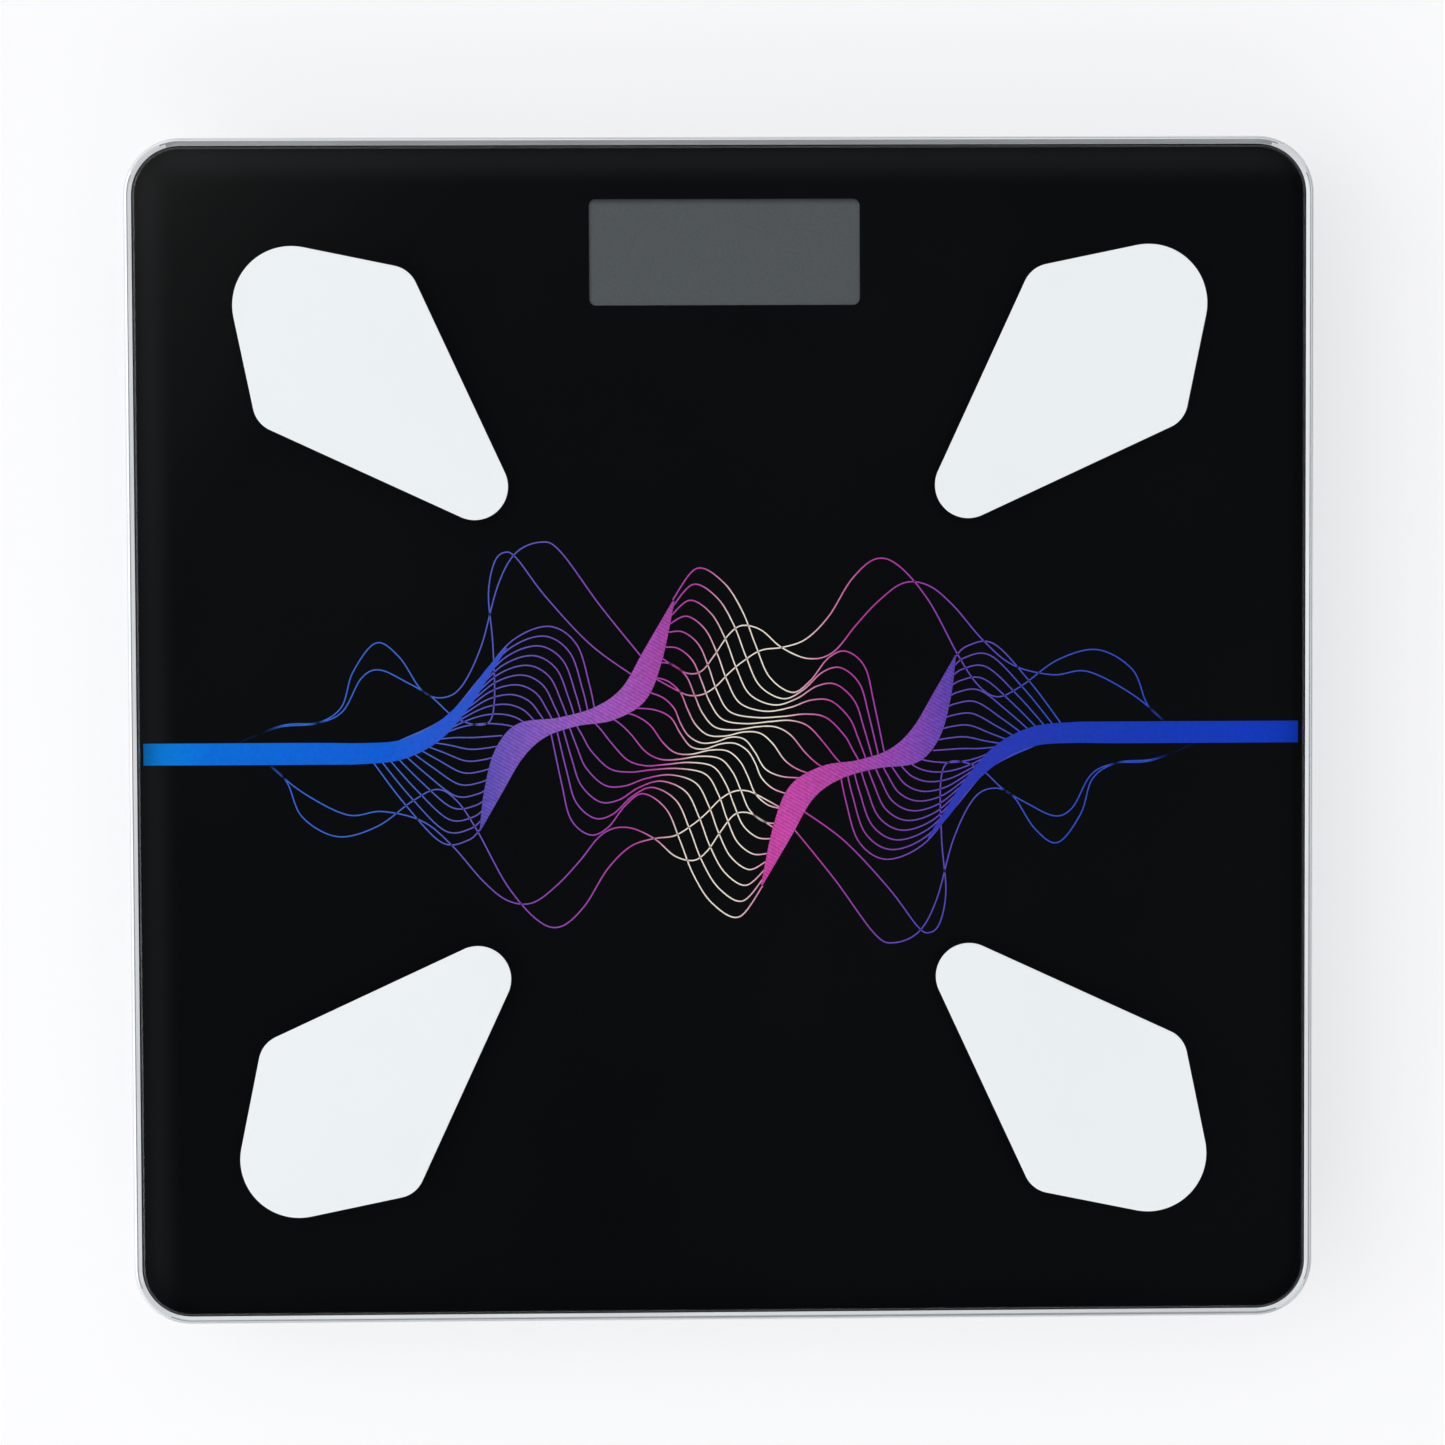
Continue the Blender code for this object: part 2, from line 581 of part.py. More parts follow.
def build_glass(mat):
    half = GLASS_SIZE / 2
    levels = (
        (GLASS_CHAMFER, GLASS_BOTTOM),
        (0, GLASS_BOTTOM + GLASS_CHAMFER),
        (0, GLASS_TOP - GLASS_CHAMFER),
        (GLASS_CHAMFER, GLASS_TOP),
    )
    rings = []
    for inset, z in levels:
        outline = rounded_rectangle(half - inset, half - inset, GLASS_CORNER_R - inset)
        rings.append([(x, y, z) for x, y in outline])
    glass = add_object("glass_platform", loft(rings), mat)
    holes = bmesh.new()
    for sx, sy in CORNERS.values():
        place = (sx * STUD_POS, sy * STUD_POS)
        low, high = GLASS_BOTTOM - OVERSHOOT, GLASS_TOP + OVERSHOOT
        drum(STUD_R + GAP, low, high, SMALL_STEPS, place, holes)
    boolean(glass, "tool_stud_holes", holes, "DIFFERENCE")
    return glass


def build_tape(mat):
    """Foam tape that bonds the glass to the shell's ledge."""
    outer = RIM_WALL + TAPE_MARGIN
    inner = RIM_WALL + LEDGE_WIDTH - TAPE_MARGIN / 2
    bottom = LEDGE_Z + GAP
    top = bottom + TAPE_T
    section = ((outer, bottom), (outer, top), (inner, top), (inner, bottom))
    return add_object("glass_adhesive_tape", loft([case_ring(*p) for p in section], True), mat)


def build_electrodes(mat):
    """Plate with a stud that passes through the glass, one on each diagonal."""
    shoulder_x = STUD_FROM_END - SHOULDER_ALONG
    outline = belt([
        (STUD_FROM_END, 0, ELECTRODE_END_R),
        (shoulder_x, SHOULDER_ACROSS, SHOULDER_R),
        (STUD_FROM_END - TIP_ALONG, 0, TIP_R),
        (shoulder_x, -SHOULDER_ACROSS, SHOULDER_R),
    ], 6)
    bottom = GLASS_TOP + GAP
    for corner, (sx, sy) in CORNERS.items():
        end, side = corner.split("_")
        bm = prism(outline, bottom, bottom + ELECTRODE_T)
        plate = add_object(f"{end}_electrode_{side}", bm, mat)
        plate.rotation_euler = (0, 0, math.atan2(sy, sx))
        plate.location = (sx * STUD_POS, sy * STUD_POS, 0)
        stud = drum(STUD_R, GLASS_BOTTOM - STUD_BELOW_GLASS, bottom + ELECTRODE_T / 2, HOLE_STEPS)
        boolean(plate, "tool_stud_" + corner, stud, "UNION")


# ---------------------------------------------------------------- feet and load cells
def build_feet(mats):
    bead_z = POCKET_LIP_TOP + GAP
    bead_r = FOOT_R + FOOT_BEAD
    skirt_in = FOOT_R - SKIRT_T
    round_reach, round_mid = SKIRT_ROUND
    recess_r = PAD_R + GAP
    cap_bottom = PAD_PROUD
    section = [
        (0, FOOT_DISC_BOTTOM), (recess_r, FOOT_DISC_BOTTOM), (recess_r, cap_bottom),
        (FOOT_R - round_reach, cap_bottom), (FOOT_R - round_mid, cap_bottom + round_mid),
        (FOOT_R, cap_bottom + round_reach), (FOOT_R, bead_z), (bead_r, bead_z),
        (bead_r, bead_z + BEAD_T), (FOOT_R, bead_z + BEAD_RISE), (skirt_in, bead_z + BEAD_RISE),
        (skirt_in, FOOT_DISC_TOP), (POST_R, FOOT_DISC_TOP), (POST_R, POST_TOP), (0, POST_TOP),
    ]
    pad_section = [(0, 0), (PAD_R - PAD_EDGE, 0), (PAD_R, PAD_EDGE), (PAD_R, PAD_T), (0, PAD_T)]
    for corner, (sx, sy) in CORNERS.items():
        axis = add_axis("foot_axis_" + corner, (sx * FOOT_POS, sy * FOOT_POS, 0))
        add_object("foot_cap_" + corner, turned(section, TURN_STEPS), mats["foot"], parent=axis)
        add_object("foot_pad_" + corner, turned(pad_section, TURN_STEPS), mats["rubber"], parent=axis)


def build_load_cells(mats):
    """Steel plate with a U-shaped slot that frees the loaded tongue, and its gauge."""
    half = CELL_SIZE / 2
    outline = rounded_rectangle(half, half, CELL_CORNER_R, 4)
    leg_x = CELL_TONGUE_W / 2 + CELL_SLOT / 2
    front = -half + CELL_SLOT_ENDS[0]
    back = half - CELL_SLOT_ENDS[1]
    slot = [
        (leg_x + CELL_SLOT / 2, front), (leg_x + CELL_SLOT / 2, back),
        (leg_x - CELL_SLOT / 2, back), (leg_x - CELL_SLOT / 2, front + CELL_SLOT),
        (-leg_x + CELL_SLOT / 2, front + CELL_SLOT), (-leg_x + CELL_SLOT / 2, back),
        (-leg_x - CELL_SLOT / 2, back), (-leg_x - CELL_SLOT / 2, front),
    ]
    gauge_w, gauge_l, gauge_t = GAUGE_SIZE
    for corner, (sx, sy) in CORNERS.items():
        place = (sx * FOOT_POS, sy * FOOT_POS, 0)
        cell = add_object("load_cell_" + corner, prism(outline, CELL_BOTTOM, CELL_TOP),
                          mats["steel"], place)
        cutter = prism(slot, CELL_BOTTOM - OVERSHOOT, CELL_TOP + OVERSHOOT)
        boolean(cell, "tool_slot_" + corner, cutter, "DIFFERENCE")
        top = CELL_BOTTOM - GAP
        gauge_y = POST_R + GAP + GAUGE_FROM_POST + gauge_l / 2
        gauge = block((0, gauge_y), (gauge_w / 2, gauge_l / 2), top - gauge_t, top)
        add_object("strain_gauge_" + corner, gauge, mats["silicone"], place)


# ---------------------------------------------------------------- display and board
def board_screw_places():
    inset_x, inset_y = BOARD_SCREW_INSET
    half_x = BOARD_SIZE[0] / 2 - inset_x
    half_y = BOARD_SIZE[1] / 2 - inset_y
    return [(sx * half_x, BOARD_Y + sy * half_y) for sx in (-1, 1) for sy in (-1, 1)]


def build_display(mats):
    half = [s / 2 for s in LCD_SIZE]
    place = (0, DISPLAY_Y, 0)
    add_object("lcd_panel", block((0, 0), half, LCD_BOTTOM, LCD_TOP), mats["lcd"], place)

    zebra_y = -half[1] + ZEBRA_WIDTH / 2
    zebra_half = (WINDOW_SIZE[0] / 2, ZEBRA_WIDTH / 2)
    zebra = block((0, zebra_y), zebra_half, DIFFUSER_BOTTOM, DIFFUSER_TOP)
    add_object("zebra_connector", zebra, mats["zebra"], place)

    front = zebra_y + ZEBRA_WIDTH / 2 + GAP
    back = half[1]
    diffuser = block((0, (front + back) / 2), (WINDOW_SIZE[0] / 2, (back - front) / 2),
                     DIFFUSER_BOTTOM, DIFFUSER_TOP)
    add_object("backlight_diffuser", diffuser, mats["diffuser"], place)

    inner = [h + GAP for h in half]
    outer = [h + w for h, w in zip(inner, HOLDER_WALL)]
    bottom, top = BOARD_TOP + GAP, LCD_TOP
    rings = []
    for size, z in ((outer, bottom), (outer, top), (inner, top), (inner, bottom)):
        rings.append([(x, y, z) for x, y in rounded_rectangle(*size, HOLDER_CORNER_R, 2)])
    add_object("lcd_holder", loft(rings, closed=True), mats["holder"], place)


def build_board(mats):
    place = (0, BOARD_Y, 0)
    outline = rounded_rectangle(BOARD_SIZE[0] / 2, BOARD_SIZE[1] / 2, BOARD_CORNER_R, 3)
    board = add_object("main_board", prism(outline, BOARD_BOTTOM, BOARD_TOP), mats["board"], place)
    holes = bmesh.new()
    for x, y in board_screw_places():
        spot = (x, y - BOARD_Y)
        low, high = BOARD_BOTTOM - OVERSHOOT, BOARD_TOP + OVERSHOOT
        drum(SCREW_R + GAP, low, high, SMALL_STEPS, spot, holes)
    boolean(board, "tool_board_holes", holes, "DIFFERENCE")

    head = BOARD_TOP + GAP
    screw = [
        (0, head - SCREW_LENGTH), (SCREW_R * 0.5, head - SCREW_LENGTH),
        (SCREW_R, head - SCREW_LENGTH + SCREW_POINT), (SCREW_R, head), (SCREW_HEAD_R, head),
        (SCREW_HEAD_R, head + SCREW_HEAD_T * 0.5), (SCREW_HEAD_R * 0.65, head + SCREW_HEAD_T),
        (0, head + SCREW_HEAD_T),
    ]
    for number, (x, y) in enumerate(board_screw_places(), start=1):
        name = f"board_screw_{number}"
        add_object(name, turned(screw, SMALL_STEPS), mats["screw"], (x, y, 0))

    foot = BOARD_TOP + GAP
    side_x = LCD_SIZE[0] / 2 + GAP + HOLDER_WALL[0] + CHIPS_BESIDE_HOLDER
    for part, side, size in (
        ("controller", -1, CONTROLLER_SIZE),
        ("amplifier", 1, AMPLIFIER_SIZE),
    ):
        chip = block((0, 0), (size[0] / 2, size[1] / 2), foot, foot + size[2])
        place = (side * side_x, BOARD_Y + CHIP_SHIFTS[part], 0)
        add_object(part + "_chip", chip, mats["chip"], place)
    length, width, height = CRYSTAL_SIZE
    can = prism(rounded_rectangle(length / 2, width / 2, CRYSTAL_END_R, 4), foot, foot + height)
    place = (side_x, BOARD_Y + CHIP_SHIFTS["crystal"], 0)
    add_object("quartz_crystal", can, mats["can"], place)
    radius, height = CAPACITOR_SIZE
    inner = radius - CAPACITOR_EDGE
    capacitor = turned([
        (0, foot), (inner, foot), (radius, foot + CAPACITOR_EDGE),
        (radius, foot + height - CAPACITOR_EDGE), (inner, foot + height), (0, foot + height),
    ], SMALL_STEPS)
    place = (-side_x, BOARD_Y + CHIP_SHIFTS["capacitor"], 0)
    add_object("smoothing_capacitor", capacitor, mats["can"], place)


def build_unit_button(mats):
    """Button in the floor of the shell, and the push switch above it on the board."""
    flange_r, flange_t = BUTTON_FLANGE
    bottom = SHELL_BOTTOM - BUTTON_PROUD
    flange_z = SHELL_FLOOR + GAP
    section = [
        (0, bottom), (BUTTON_R - BUTTON_EDGE, bottom), (BUTTON_R, bottom + BUTTON_EDGE),
        (BUTTON_R, flange_z), (flange_r, flange_z), (flange_r, flange_z + flange_t),
        (0, flange_z + flange_t),
    ]
    place = (BUTTON_X, DISPLAY_Y, 0)
    add_object("unit_button", turned(section, ROUND_STEPS), mats["button"], place)

    plunger_bottom = flange_z + flange_t + GAP
    switch_bottom = plunger_bottom + PLUNGER_PROUD
    switch_top = BOARD_BOTTOM - GAP
    half = SWITCH_SIZE / 2
    switch = add_object("unit_switch", block((0, 0), (half, half), switch_bottom, switch_top),
                        mats["chip"], place)
    room_top = switch_bottom + PLUNGER_IN_SWITCH + 2 * GAP
    room = drum(PLUNGER_R + GAP, switch_bottom - OVERSHOOT, room_top)
    boolean(switch, "tool_switch_hole", room, "DIFFERENCE")
    plunger = drum(PLUNGER_R, plunger_bottom, switch_bottom + PLUNGER_IN_SWITCH)
    add_object("unit_switch_plunger", plunger, mats["button"], place)


# ---------------------------------------------------------------- battery bay
def build_battery_door(mat):
    """Flush door: two tabs hook under the shell, a sprung finger faces them."""
    hinge_y = BAY_Y + DOOR_HALF_Y
    axis = add_axis("battery_door_axis", (0, hinge_y, SHELL_BOTTOM))
    top = DOOR_T
    outline = rounded_rectangle(DOOR_HALF_X, DOOR_HALF_Y, DOOR_CORNER_R, 3)
    plate = prism([(x, y - DOOR_HALF_Y) for x, y in outline], 0, top)
    door = add_object("battery_door", plate, mat, parent=axis)
    tabs = bmesh.new()
    tab_w, tab_l, tab_t = TAB_SIZE
    for side in (-1, 1):
        place = (side * TAB_SPACING / 2, tab_l / 2 - OVERSHOOT)
        block(place, (tab_w / 2, tab_l / 2 + OVERSHOOT), top - tab_t, top - TAB_SINK, tabs)
    latch_w, latch_l = LATCH_SIZE
    front = -2 * DOOR_HALF_Y
    slits = bmesh.new()
    for side in (-1, 1):
        block((side * (latch_w + LATCH_SLIT) / 2, front + latch_l / 2),
              (LATCH_SLIT / 2, latch_l / 2 + OVERSHOOT), -OVERSHOOT, top + OVERSHOOT, slits)
    grips = bmesh.new()
    grip_w, grip_l, grip_depth = GRIP_SIZE
    for i in range(GRIPS):
        place = (0, front + GRIP_START + GRIP_PITCH * i)
        block(place, (grip_w / 2, grip_l / 2), -OVERSHOOT, grip_depth, grips)
    for name, bm, operation in (
        ("tool_door_tabs", tabs, "UNION"),
        ("tool_door_slits", slits, "DIFFERENCE"),
        ("tool_door_grips", grips, "DIFFERENCE"),
    ):
        boolean(door, name, bm, operation)


def build_batteries(mats):
    """Two AAA cells head to tail, between sprung and flat contacts."""
    nub_r, nub_h = BATTERY_NUB
    body = BATTERY_LENGTH - nub_h
    section = [
        (0, 0), (BATTERY_R - BATTERY_EDGE, 0), (BATTERY_R, BATTERY_EDGE),
        (BATTERY_R, body - BATTERY_EDGE), (BATTERY_R - BATTERY_EDGE, body), (nub_r, body),
        (nub_r, BATTERY_LENGTH), (0, BATTERY_LENGTH),
    ]
    spring_end = BAY_HALF_X - GAP - CONTACT_T - GAP - SPRING_LENGTH - GAP
    for name, side in (("battery_cell_rear", 1), ("battery_cell_front", -1)):
        cell = add_object(name, lay_along_x(turned(section, ROUND_STEPS)), mats["battery"])
        cell.location = (-side * spring_end, BAY_Y + side * BATTERY_SPACING / 2, BATTERY_Z)
        if side < 0:
            cell.rotation_euler = (0, 0, math.pi)


def contact_plate(centre_y, half_y, side):
    """Upright contact plate against an end wall of the bay."""
    x = side * (BAY_HALF_X - GAP - CONTACT_T / 2)
    half = (CONTACT_T / 2, half_y)
    return block((x, centre_y), half, BATTERY_Z - CONTACT_H / 2, BATTERY_Z + CONTACT_H / 2)


def build_contacts(mats):
    shift = BATTERY_SPACING / 2
    plate_half = BATTERY_R - CONTACT_MARGIN
    bridge = contact_plate(BAY_Y, shift + plate_half, -1)
    add_object("contact_bridge", bridge, mats["contact"])
    tail_from = BAY_HALF_X - GAP - CONTACT_T / 2
    tail_to = BAY_OUTER_X + TAIL_PROUD
    for name, side in (("contact_positive", 1), ("contact_negative", -1)):
        y = BAY_Y + side * shift
        plate = add_object(name, contact_plate(y, plate_half, 1), mats["contact"])
        tail = block(((tail_from + tail_to) / 2, y), ((tail_to - tail_from) / 2, TAIL_W / 2),
                     BATTERY_Z - CONTACT_T / 2, BATTERY_Z + CONTACT_T / 2)
        boolean(plate, "tool_tail_" + name, tail, "UNION")
    for name, end, side in (
        ("contact_spring_bridge", -1, 1),
        ("contact_spring_negative", 1, -1),
    ):
        wire_room = SPRING_LENGTH - 2 * SPRING_WIRE_R
        seat = BAY_HALF_X - GAP - CONTACT_T - GAP - SPRING_WIRE_R
        steps = HOLE_STEPS * SPRING_TURNS
        points = []
        for i in range(steps + 1):
            share = i / steps
            angle = 2 * math.pi * SPRING_TURNS * share
            radius = SPRING_R[0] + (SPRING_R[1] - SPRING_R[0]) * share
            points.append((
                end * (seat - wire_room * share),
                BAY_Y + side * shift + radius * math.cos(angle),
                BATTERY_Z + radius * math.sin(angle),
            ))
        wire(name, points, SPRING_WIRE_R, mats["contact"], sides=1, samples=1)


# ---------------------------------------------------------------- wires
def board_approach(x, level):
    """Last stretch of every lead: up past the board's front edge and down onto it."""
    edge = BOARD_Y - BOARD_SIZE[1] / 2
    land = BOARD_TOP + GAP + LEAD_R
    return [
        (x, edge - 7 * MM, level), (x, edge - 3.6 * MM, (level + land) / 2),
        (x, edge - 1.6 * MM, land), (x, edge + 0.4 * MM, land + 0.5 * MM),
        (x, edge + 2.5 * MM, land),
    ]


def build_leads(mats):
    """Wires from each corner and from the battery to a row of pads on the board's front edge."""
    floor = SHELL_FLOOR + GAP + LEAD_R
    cell_x = FOOT_POS - CELL_SIZE / 2 - 2 * GAP
    cell_z = (CELL_BOTTOM + CELL_TOP) / 2
    wall_x = FOOT_POS - POCKET_OUTER_R
    stud_z = GLASS_BOTTOM - STUD_BELOW_GLASS - GAP - LEAD_R
    high = POCKET_TOP + GAP
    toe_cell = [
        (cell_x, FOOT_POS, cell_z), (wall_x - 1.5 * MM, FOOT_POS, cell_z),
        (wall_x - 8 * MM, FOOT_POS - 4 * MM, floor + 1.2 * MM),
        (wall_x - 12 * MM, FOOT_POS - 12 * MM, floor),
        (wall_x - 20 * MM, FOOT_POS - 20 * MM, floor), (35 * MM, BAY_BACK + 9.5 * MM, floor),
    ] + board_approach(31 * MM, floor + 0.6 * MM)
    heel_cell = [
        (cell_x, -FOOT_POS, cell_z), (wall_x - 1.5 * MM, -FOOT_POS, cell_z),
        (wall_x - 8 * MM, -FOOT_POS + 5 * MM, floor + 1.2 * MM),
        (LANE_X, -FOOT_POS + 16 * MM, floor), (LANE_X, -FOOT_POS / 3, floor),
        (LANE_X, BAY_Y - 30 * MM, floor), (LANE_X - 1 * MM, BAY_BACK - 8.5 * MM, floor),
        (LANE_X - 7 * MM, BAY_BACK + 2.5 * MM, floor), (40 * MM, BAY_BACK + 6 * MM, floor),
        (31 * MM, BAY_BACK + 7 * MM, floor),
    ] + board_approach(27 * MM, floor + 0.6 * MM)
    toe_electrode = [
        (STUD_POS, STUD_POS, stud_z), (STUD_POS - 6 * MM, STUD_POS, high),
        (46 * MM, BAY_BACK + 6.5 * MM, high), (30 * MM, BAY_BACK + 11.5 * MM, high),
    ] + board_approach(23 * MM, high)[1:]
    heel_electrode = [
        (STUD_POS, -STUD_POS, stud_z), (STUD_POS - 6 * MM, 2 * MM - STUD_POS, high - 1 * MM),
        (INNER_LANE_X + 1 * MM, 15 * MM - STUD_POS, 10 * MM),
        (INNER_LANE_X, 30 * MM - STUD_POS, floor), (INNER_LANE_X, BAY_Y - 35 * MM, floor),
        (INNER_LANE_X, BAY_BACK - 12.5 * MM, floor),
        (INNER_LANE_X - 6 * MM, BAY_BACK - 0.5 * MM, floor), (36 * MM, BAY_BACK + 2.5 * MM, floor),
        (24 * MM, BAY_BACK + 4.5 * MM, floor),
    ] + board_approach(19 * MM, floor + 0.6 * MM)
    for side, sx in (("left", -1), ("right", 1)):
        for name, route, colour in (
            (f"load_cell_lead_toe_{side}", toe_cell, "lead_white"),
            (f"load_cell_lead_heel_{side}", heel_cell, "lead_white"),
            (f"electrode_lead_toe_{side}", toe_electrode, "lead_green"),
            (f"electrode_lead_heel_{side}", heel_electrode, "lead_green"),
        ):
            wire(name, [(sx * x, y, z) for x, y, z in route], LEAD_R, mats[colour])

    tail_x = BAY_OUTER_X + TAIL_PROUD + GAP
    shift = BATTERY_SPACING / 2
    level = BATTERY_Z + 2 * MM
    positive = [
        (tail_x, BAY_Y + shift, BATTERY_Z), (tail_x + 3 * MM, BAY_Y + shift + 1 * MM, level),
        (tail_x + 3 * MM, BAY_BACK - 2.5 * MM, level), (BAY_OUTER_X - 3.6 * MM, BAY_BACK + 3 * MM, level),
        (12.5 * MM, BAY_BACK + 9.5 * MM, level),
    ] + board_approach(12 * MM, level)[1:]
    negative = [
        (tail_x, BAY_Y - shift, BATTERY_Z), (tail_x + 5.5 * MM, BAY_Y - shift + 1 * MM, level),
        (tail_x + 6.5 * MM, BAY_BACK - 3.5 * MM, level), (BAY_OUTER_X - 0.6 * MM, BAY_BACK + 6 * MM, level),
        (16 * MM, BAY_BACK + 12.5 * MM, level),
    ] + board_approach(15.6 * MM, level)[1:]
    wire("battery_lead_positive", positive, LEAD_R, mats["lead_red"])
    wire("battery_lead_negative", negative, LEAD_R, mats["lead_black"])


# ---------------------------------------------------------------- assembly
def make_materials():
    return {
        "glass": make_material("black_printed_glass", (0.004, 0.004, 0.005), 0.06),
        "electrode": make_material("white_conductive_coating", (0.82, 0.86, 0.88), 0.32),
        "tape": make_material("white_foam_tape", (0.75, 0.75, 0.72), 0.9),
        "shell": make_material("silver_abs", (0.62, 0.64, 0.66), 0.35, 0.25),
        "foot": make_material("grey_abs", (0.45, 0.46, 0.48), 0.5),
        "rubber": make_material("grey_rubber", (0.12, 0.12, 0.13), 0.85),
        "steel": make_material("nickel_plated_steel", (0.6, 0.6, 0.58), 0.3, 1.0),
        "silicone": make_material("white_silicone", (0.8, 0.8, 0.78), 0.6),
        "lcd": make_material("lcd_glass", (0.085, 0.09, 0.097), 0.15),
        "holder": make_material("black_abs", (0.02, 0.02, 0.02), 0.5),
        "diffuser": make_material("milky_acrylic", (0.85, 0.87, 0.88), 0.4),
        "zebra": make_material("zebra_rubber", (0.5, 0.2, 0.25), 0.7),
        "board": make_material("green_circuit_board", (0.02, 0.16, 0.05), 0.4),
        "chip": make_material("black_epoxy", (0.02, 0.02, 0.022), 0.55),
        "can": make_material("tin_plated_can", (0.7, 0.7, 0.7), 0.25, 1.0),
        "screw": make_material("zinc_screw", (0.65, 0.65, 0.62), 0.35, 1.0),
        "button": make_material("dark_grey_abs", (0.08, 0.08, 0.085), 0.5),
        "battery": make_material("battery_label", (0.05, 0.18, 0.3), 0.35),
        "contact": make_material("nickel_contact", (0.7, 0.69, 0.66), 0.25, 1.0),
        "lead_white": make_material("white_pvc_lead", (0.8, 0.8, 0.8), 0.5),
        "lead_green": make_material("green_pvc_lead", (0.05, 0.35, 0.1), 0.5),
        "lead_red": make_material("red_pvc_lead", (0.55, 0.02, 0.02), 0.5),
        "lead_black": make_material("black_pvc_lead", (0.02, 0.02, 0.02), 0.5),
    }


def main():
    clear_scene()
    mats = make_materials()
    build_base_shell(mats["shell"])
    build_glass(mats["glass"])
    build_tape(mats["tape"])
    build_electrodes(mats["electrode"])
    build_feet(mats)
    build_load_cells(mats)
    build_display(mats)
    build_board(mats)
    build_unit_button(mats)
    build_battery_door(mats["shell"])
    build_batteries(mats)
    build_contacts(mats)
    build_leads(mats)


main()
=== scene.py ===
"""Looks of a glass-topped digital bathroom scale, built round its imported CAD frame.

The CAD frame is metres, +Z up, +Y towards the display, origin on the floor under the platform.
Every size here is either read from the frame or given in millimetres and turned by MM.
"""

import logging
import math
from collections.abc import Callable, Iterable, Sequence
from dataclasses import dataclass, field
from enum import Enum

import bmesh
import bpy
from mathutils import Matrix, Vector
from mathutils.geometry import convex_hull_2d


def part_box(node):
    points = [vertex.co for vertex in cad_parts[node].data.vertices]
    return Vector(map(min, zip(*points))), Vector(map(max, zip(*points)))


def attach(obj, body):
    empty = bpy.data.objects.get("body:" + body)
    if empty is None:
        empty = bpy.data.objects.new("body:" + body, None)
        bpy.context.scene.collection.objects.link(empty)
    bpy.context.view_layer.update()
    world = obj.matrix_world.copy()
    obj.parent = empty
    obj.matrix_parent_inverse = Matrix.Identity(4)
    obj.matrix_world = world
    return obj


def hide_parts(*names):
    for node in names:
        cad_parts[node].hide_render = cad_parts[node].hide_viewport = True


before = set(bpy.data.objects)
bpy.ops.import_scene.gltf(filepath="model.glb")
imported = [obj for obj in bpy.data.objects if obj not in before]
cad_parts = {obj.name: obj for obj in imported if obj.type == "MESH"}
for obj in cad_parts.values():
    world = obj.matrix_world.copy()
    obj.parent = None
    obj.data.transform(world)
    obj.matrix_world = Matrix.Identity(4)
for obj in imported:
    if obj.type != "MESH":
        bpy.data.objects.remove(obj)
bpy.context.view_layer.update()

MM = 0.001
LOG = logging.getLogger("bathroom_scale")
Point = tuple[float, float]
Colour = tuple[float, float, float, float]


# ------------------------------------------------------------------ node and colour helpers
def linear(hex_code: str) -> Colour:
    """Turn an sRGB hex colour into linear RGBA.

    Args:
        hex_code: six hex digits, such as "C8CCD0".

    Returns:
        Linear red, green, blue and an alpha of one.
    """
    channels = [int(hex_code[i:i + 2], 16) / 255 for i in (0, 2, 4)]
    curve = [c / 12.92 if c <= 0.04045 else ((c + 0.055) / 1.055) ** 2.4 for c in channels]
    return (*curve, 1.0)


def add_node(
    tree: bpy.types.NodeTree,
    kind: str,
    settings: dict[str, object] | None = None,
    inputs: dict[str | int, object] | None = None,
    stops: Sequence[tuple[float, Colour]] = (),
) -> bpy.types.Node:
    """Add a node with its settings, and link or set its inputs.

    Args:
        tree: node tree that takes the node.
        kind: node type without the "ShaderNode" prefix.
        settings: attribute values of the node itself.
        inputs: input name or index to a value, or to an output socket that is linked.
        stops: places and linear colours of a colour ramp, in rising order.

    Returns:
        The new node.
    """
    node = tree.nodes.new("ShaderNode" + kind)
    for key, value in (settings or {}).items():
        setattr(node, key, value)
    for number, (place, colour) in enumerate(stops):
        elements = node.color_ramp.elements
        element = elements[number] if number < len(elements) else elements.new(place)
        element.position, element.color = place, colour
    for key, value in (inputs or {}).items():
        if isinstance(value, bpy.types.NodeSocket):
            tree.links.new(value, node.inputs[key])
        else:
            node.inputs[key].default_value = value
    return node


# ------------------------------------------------------------------ finishes
class Texture(Enum):
    """How a finish's fine relief was made.

    Real sparked and rolled grain is a few hundredths of a millimetre and would not show, so the
    finishes draw theirs some ten times as coarse.
    """

    SPARKED = "spark-eroded mould, a fine even stipple"
    POLISHED = "polished or float surface, almost no relief"
    BRUSHED = "drawn or rolled, fine lines along X"
    CELLULAR = "foamed, open rounded cells"


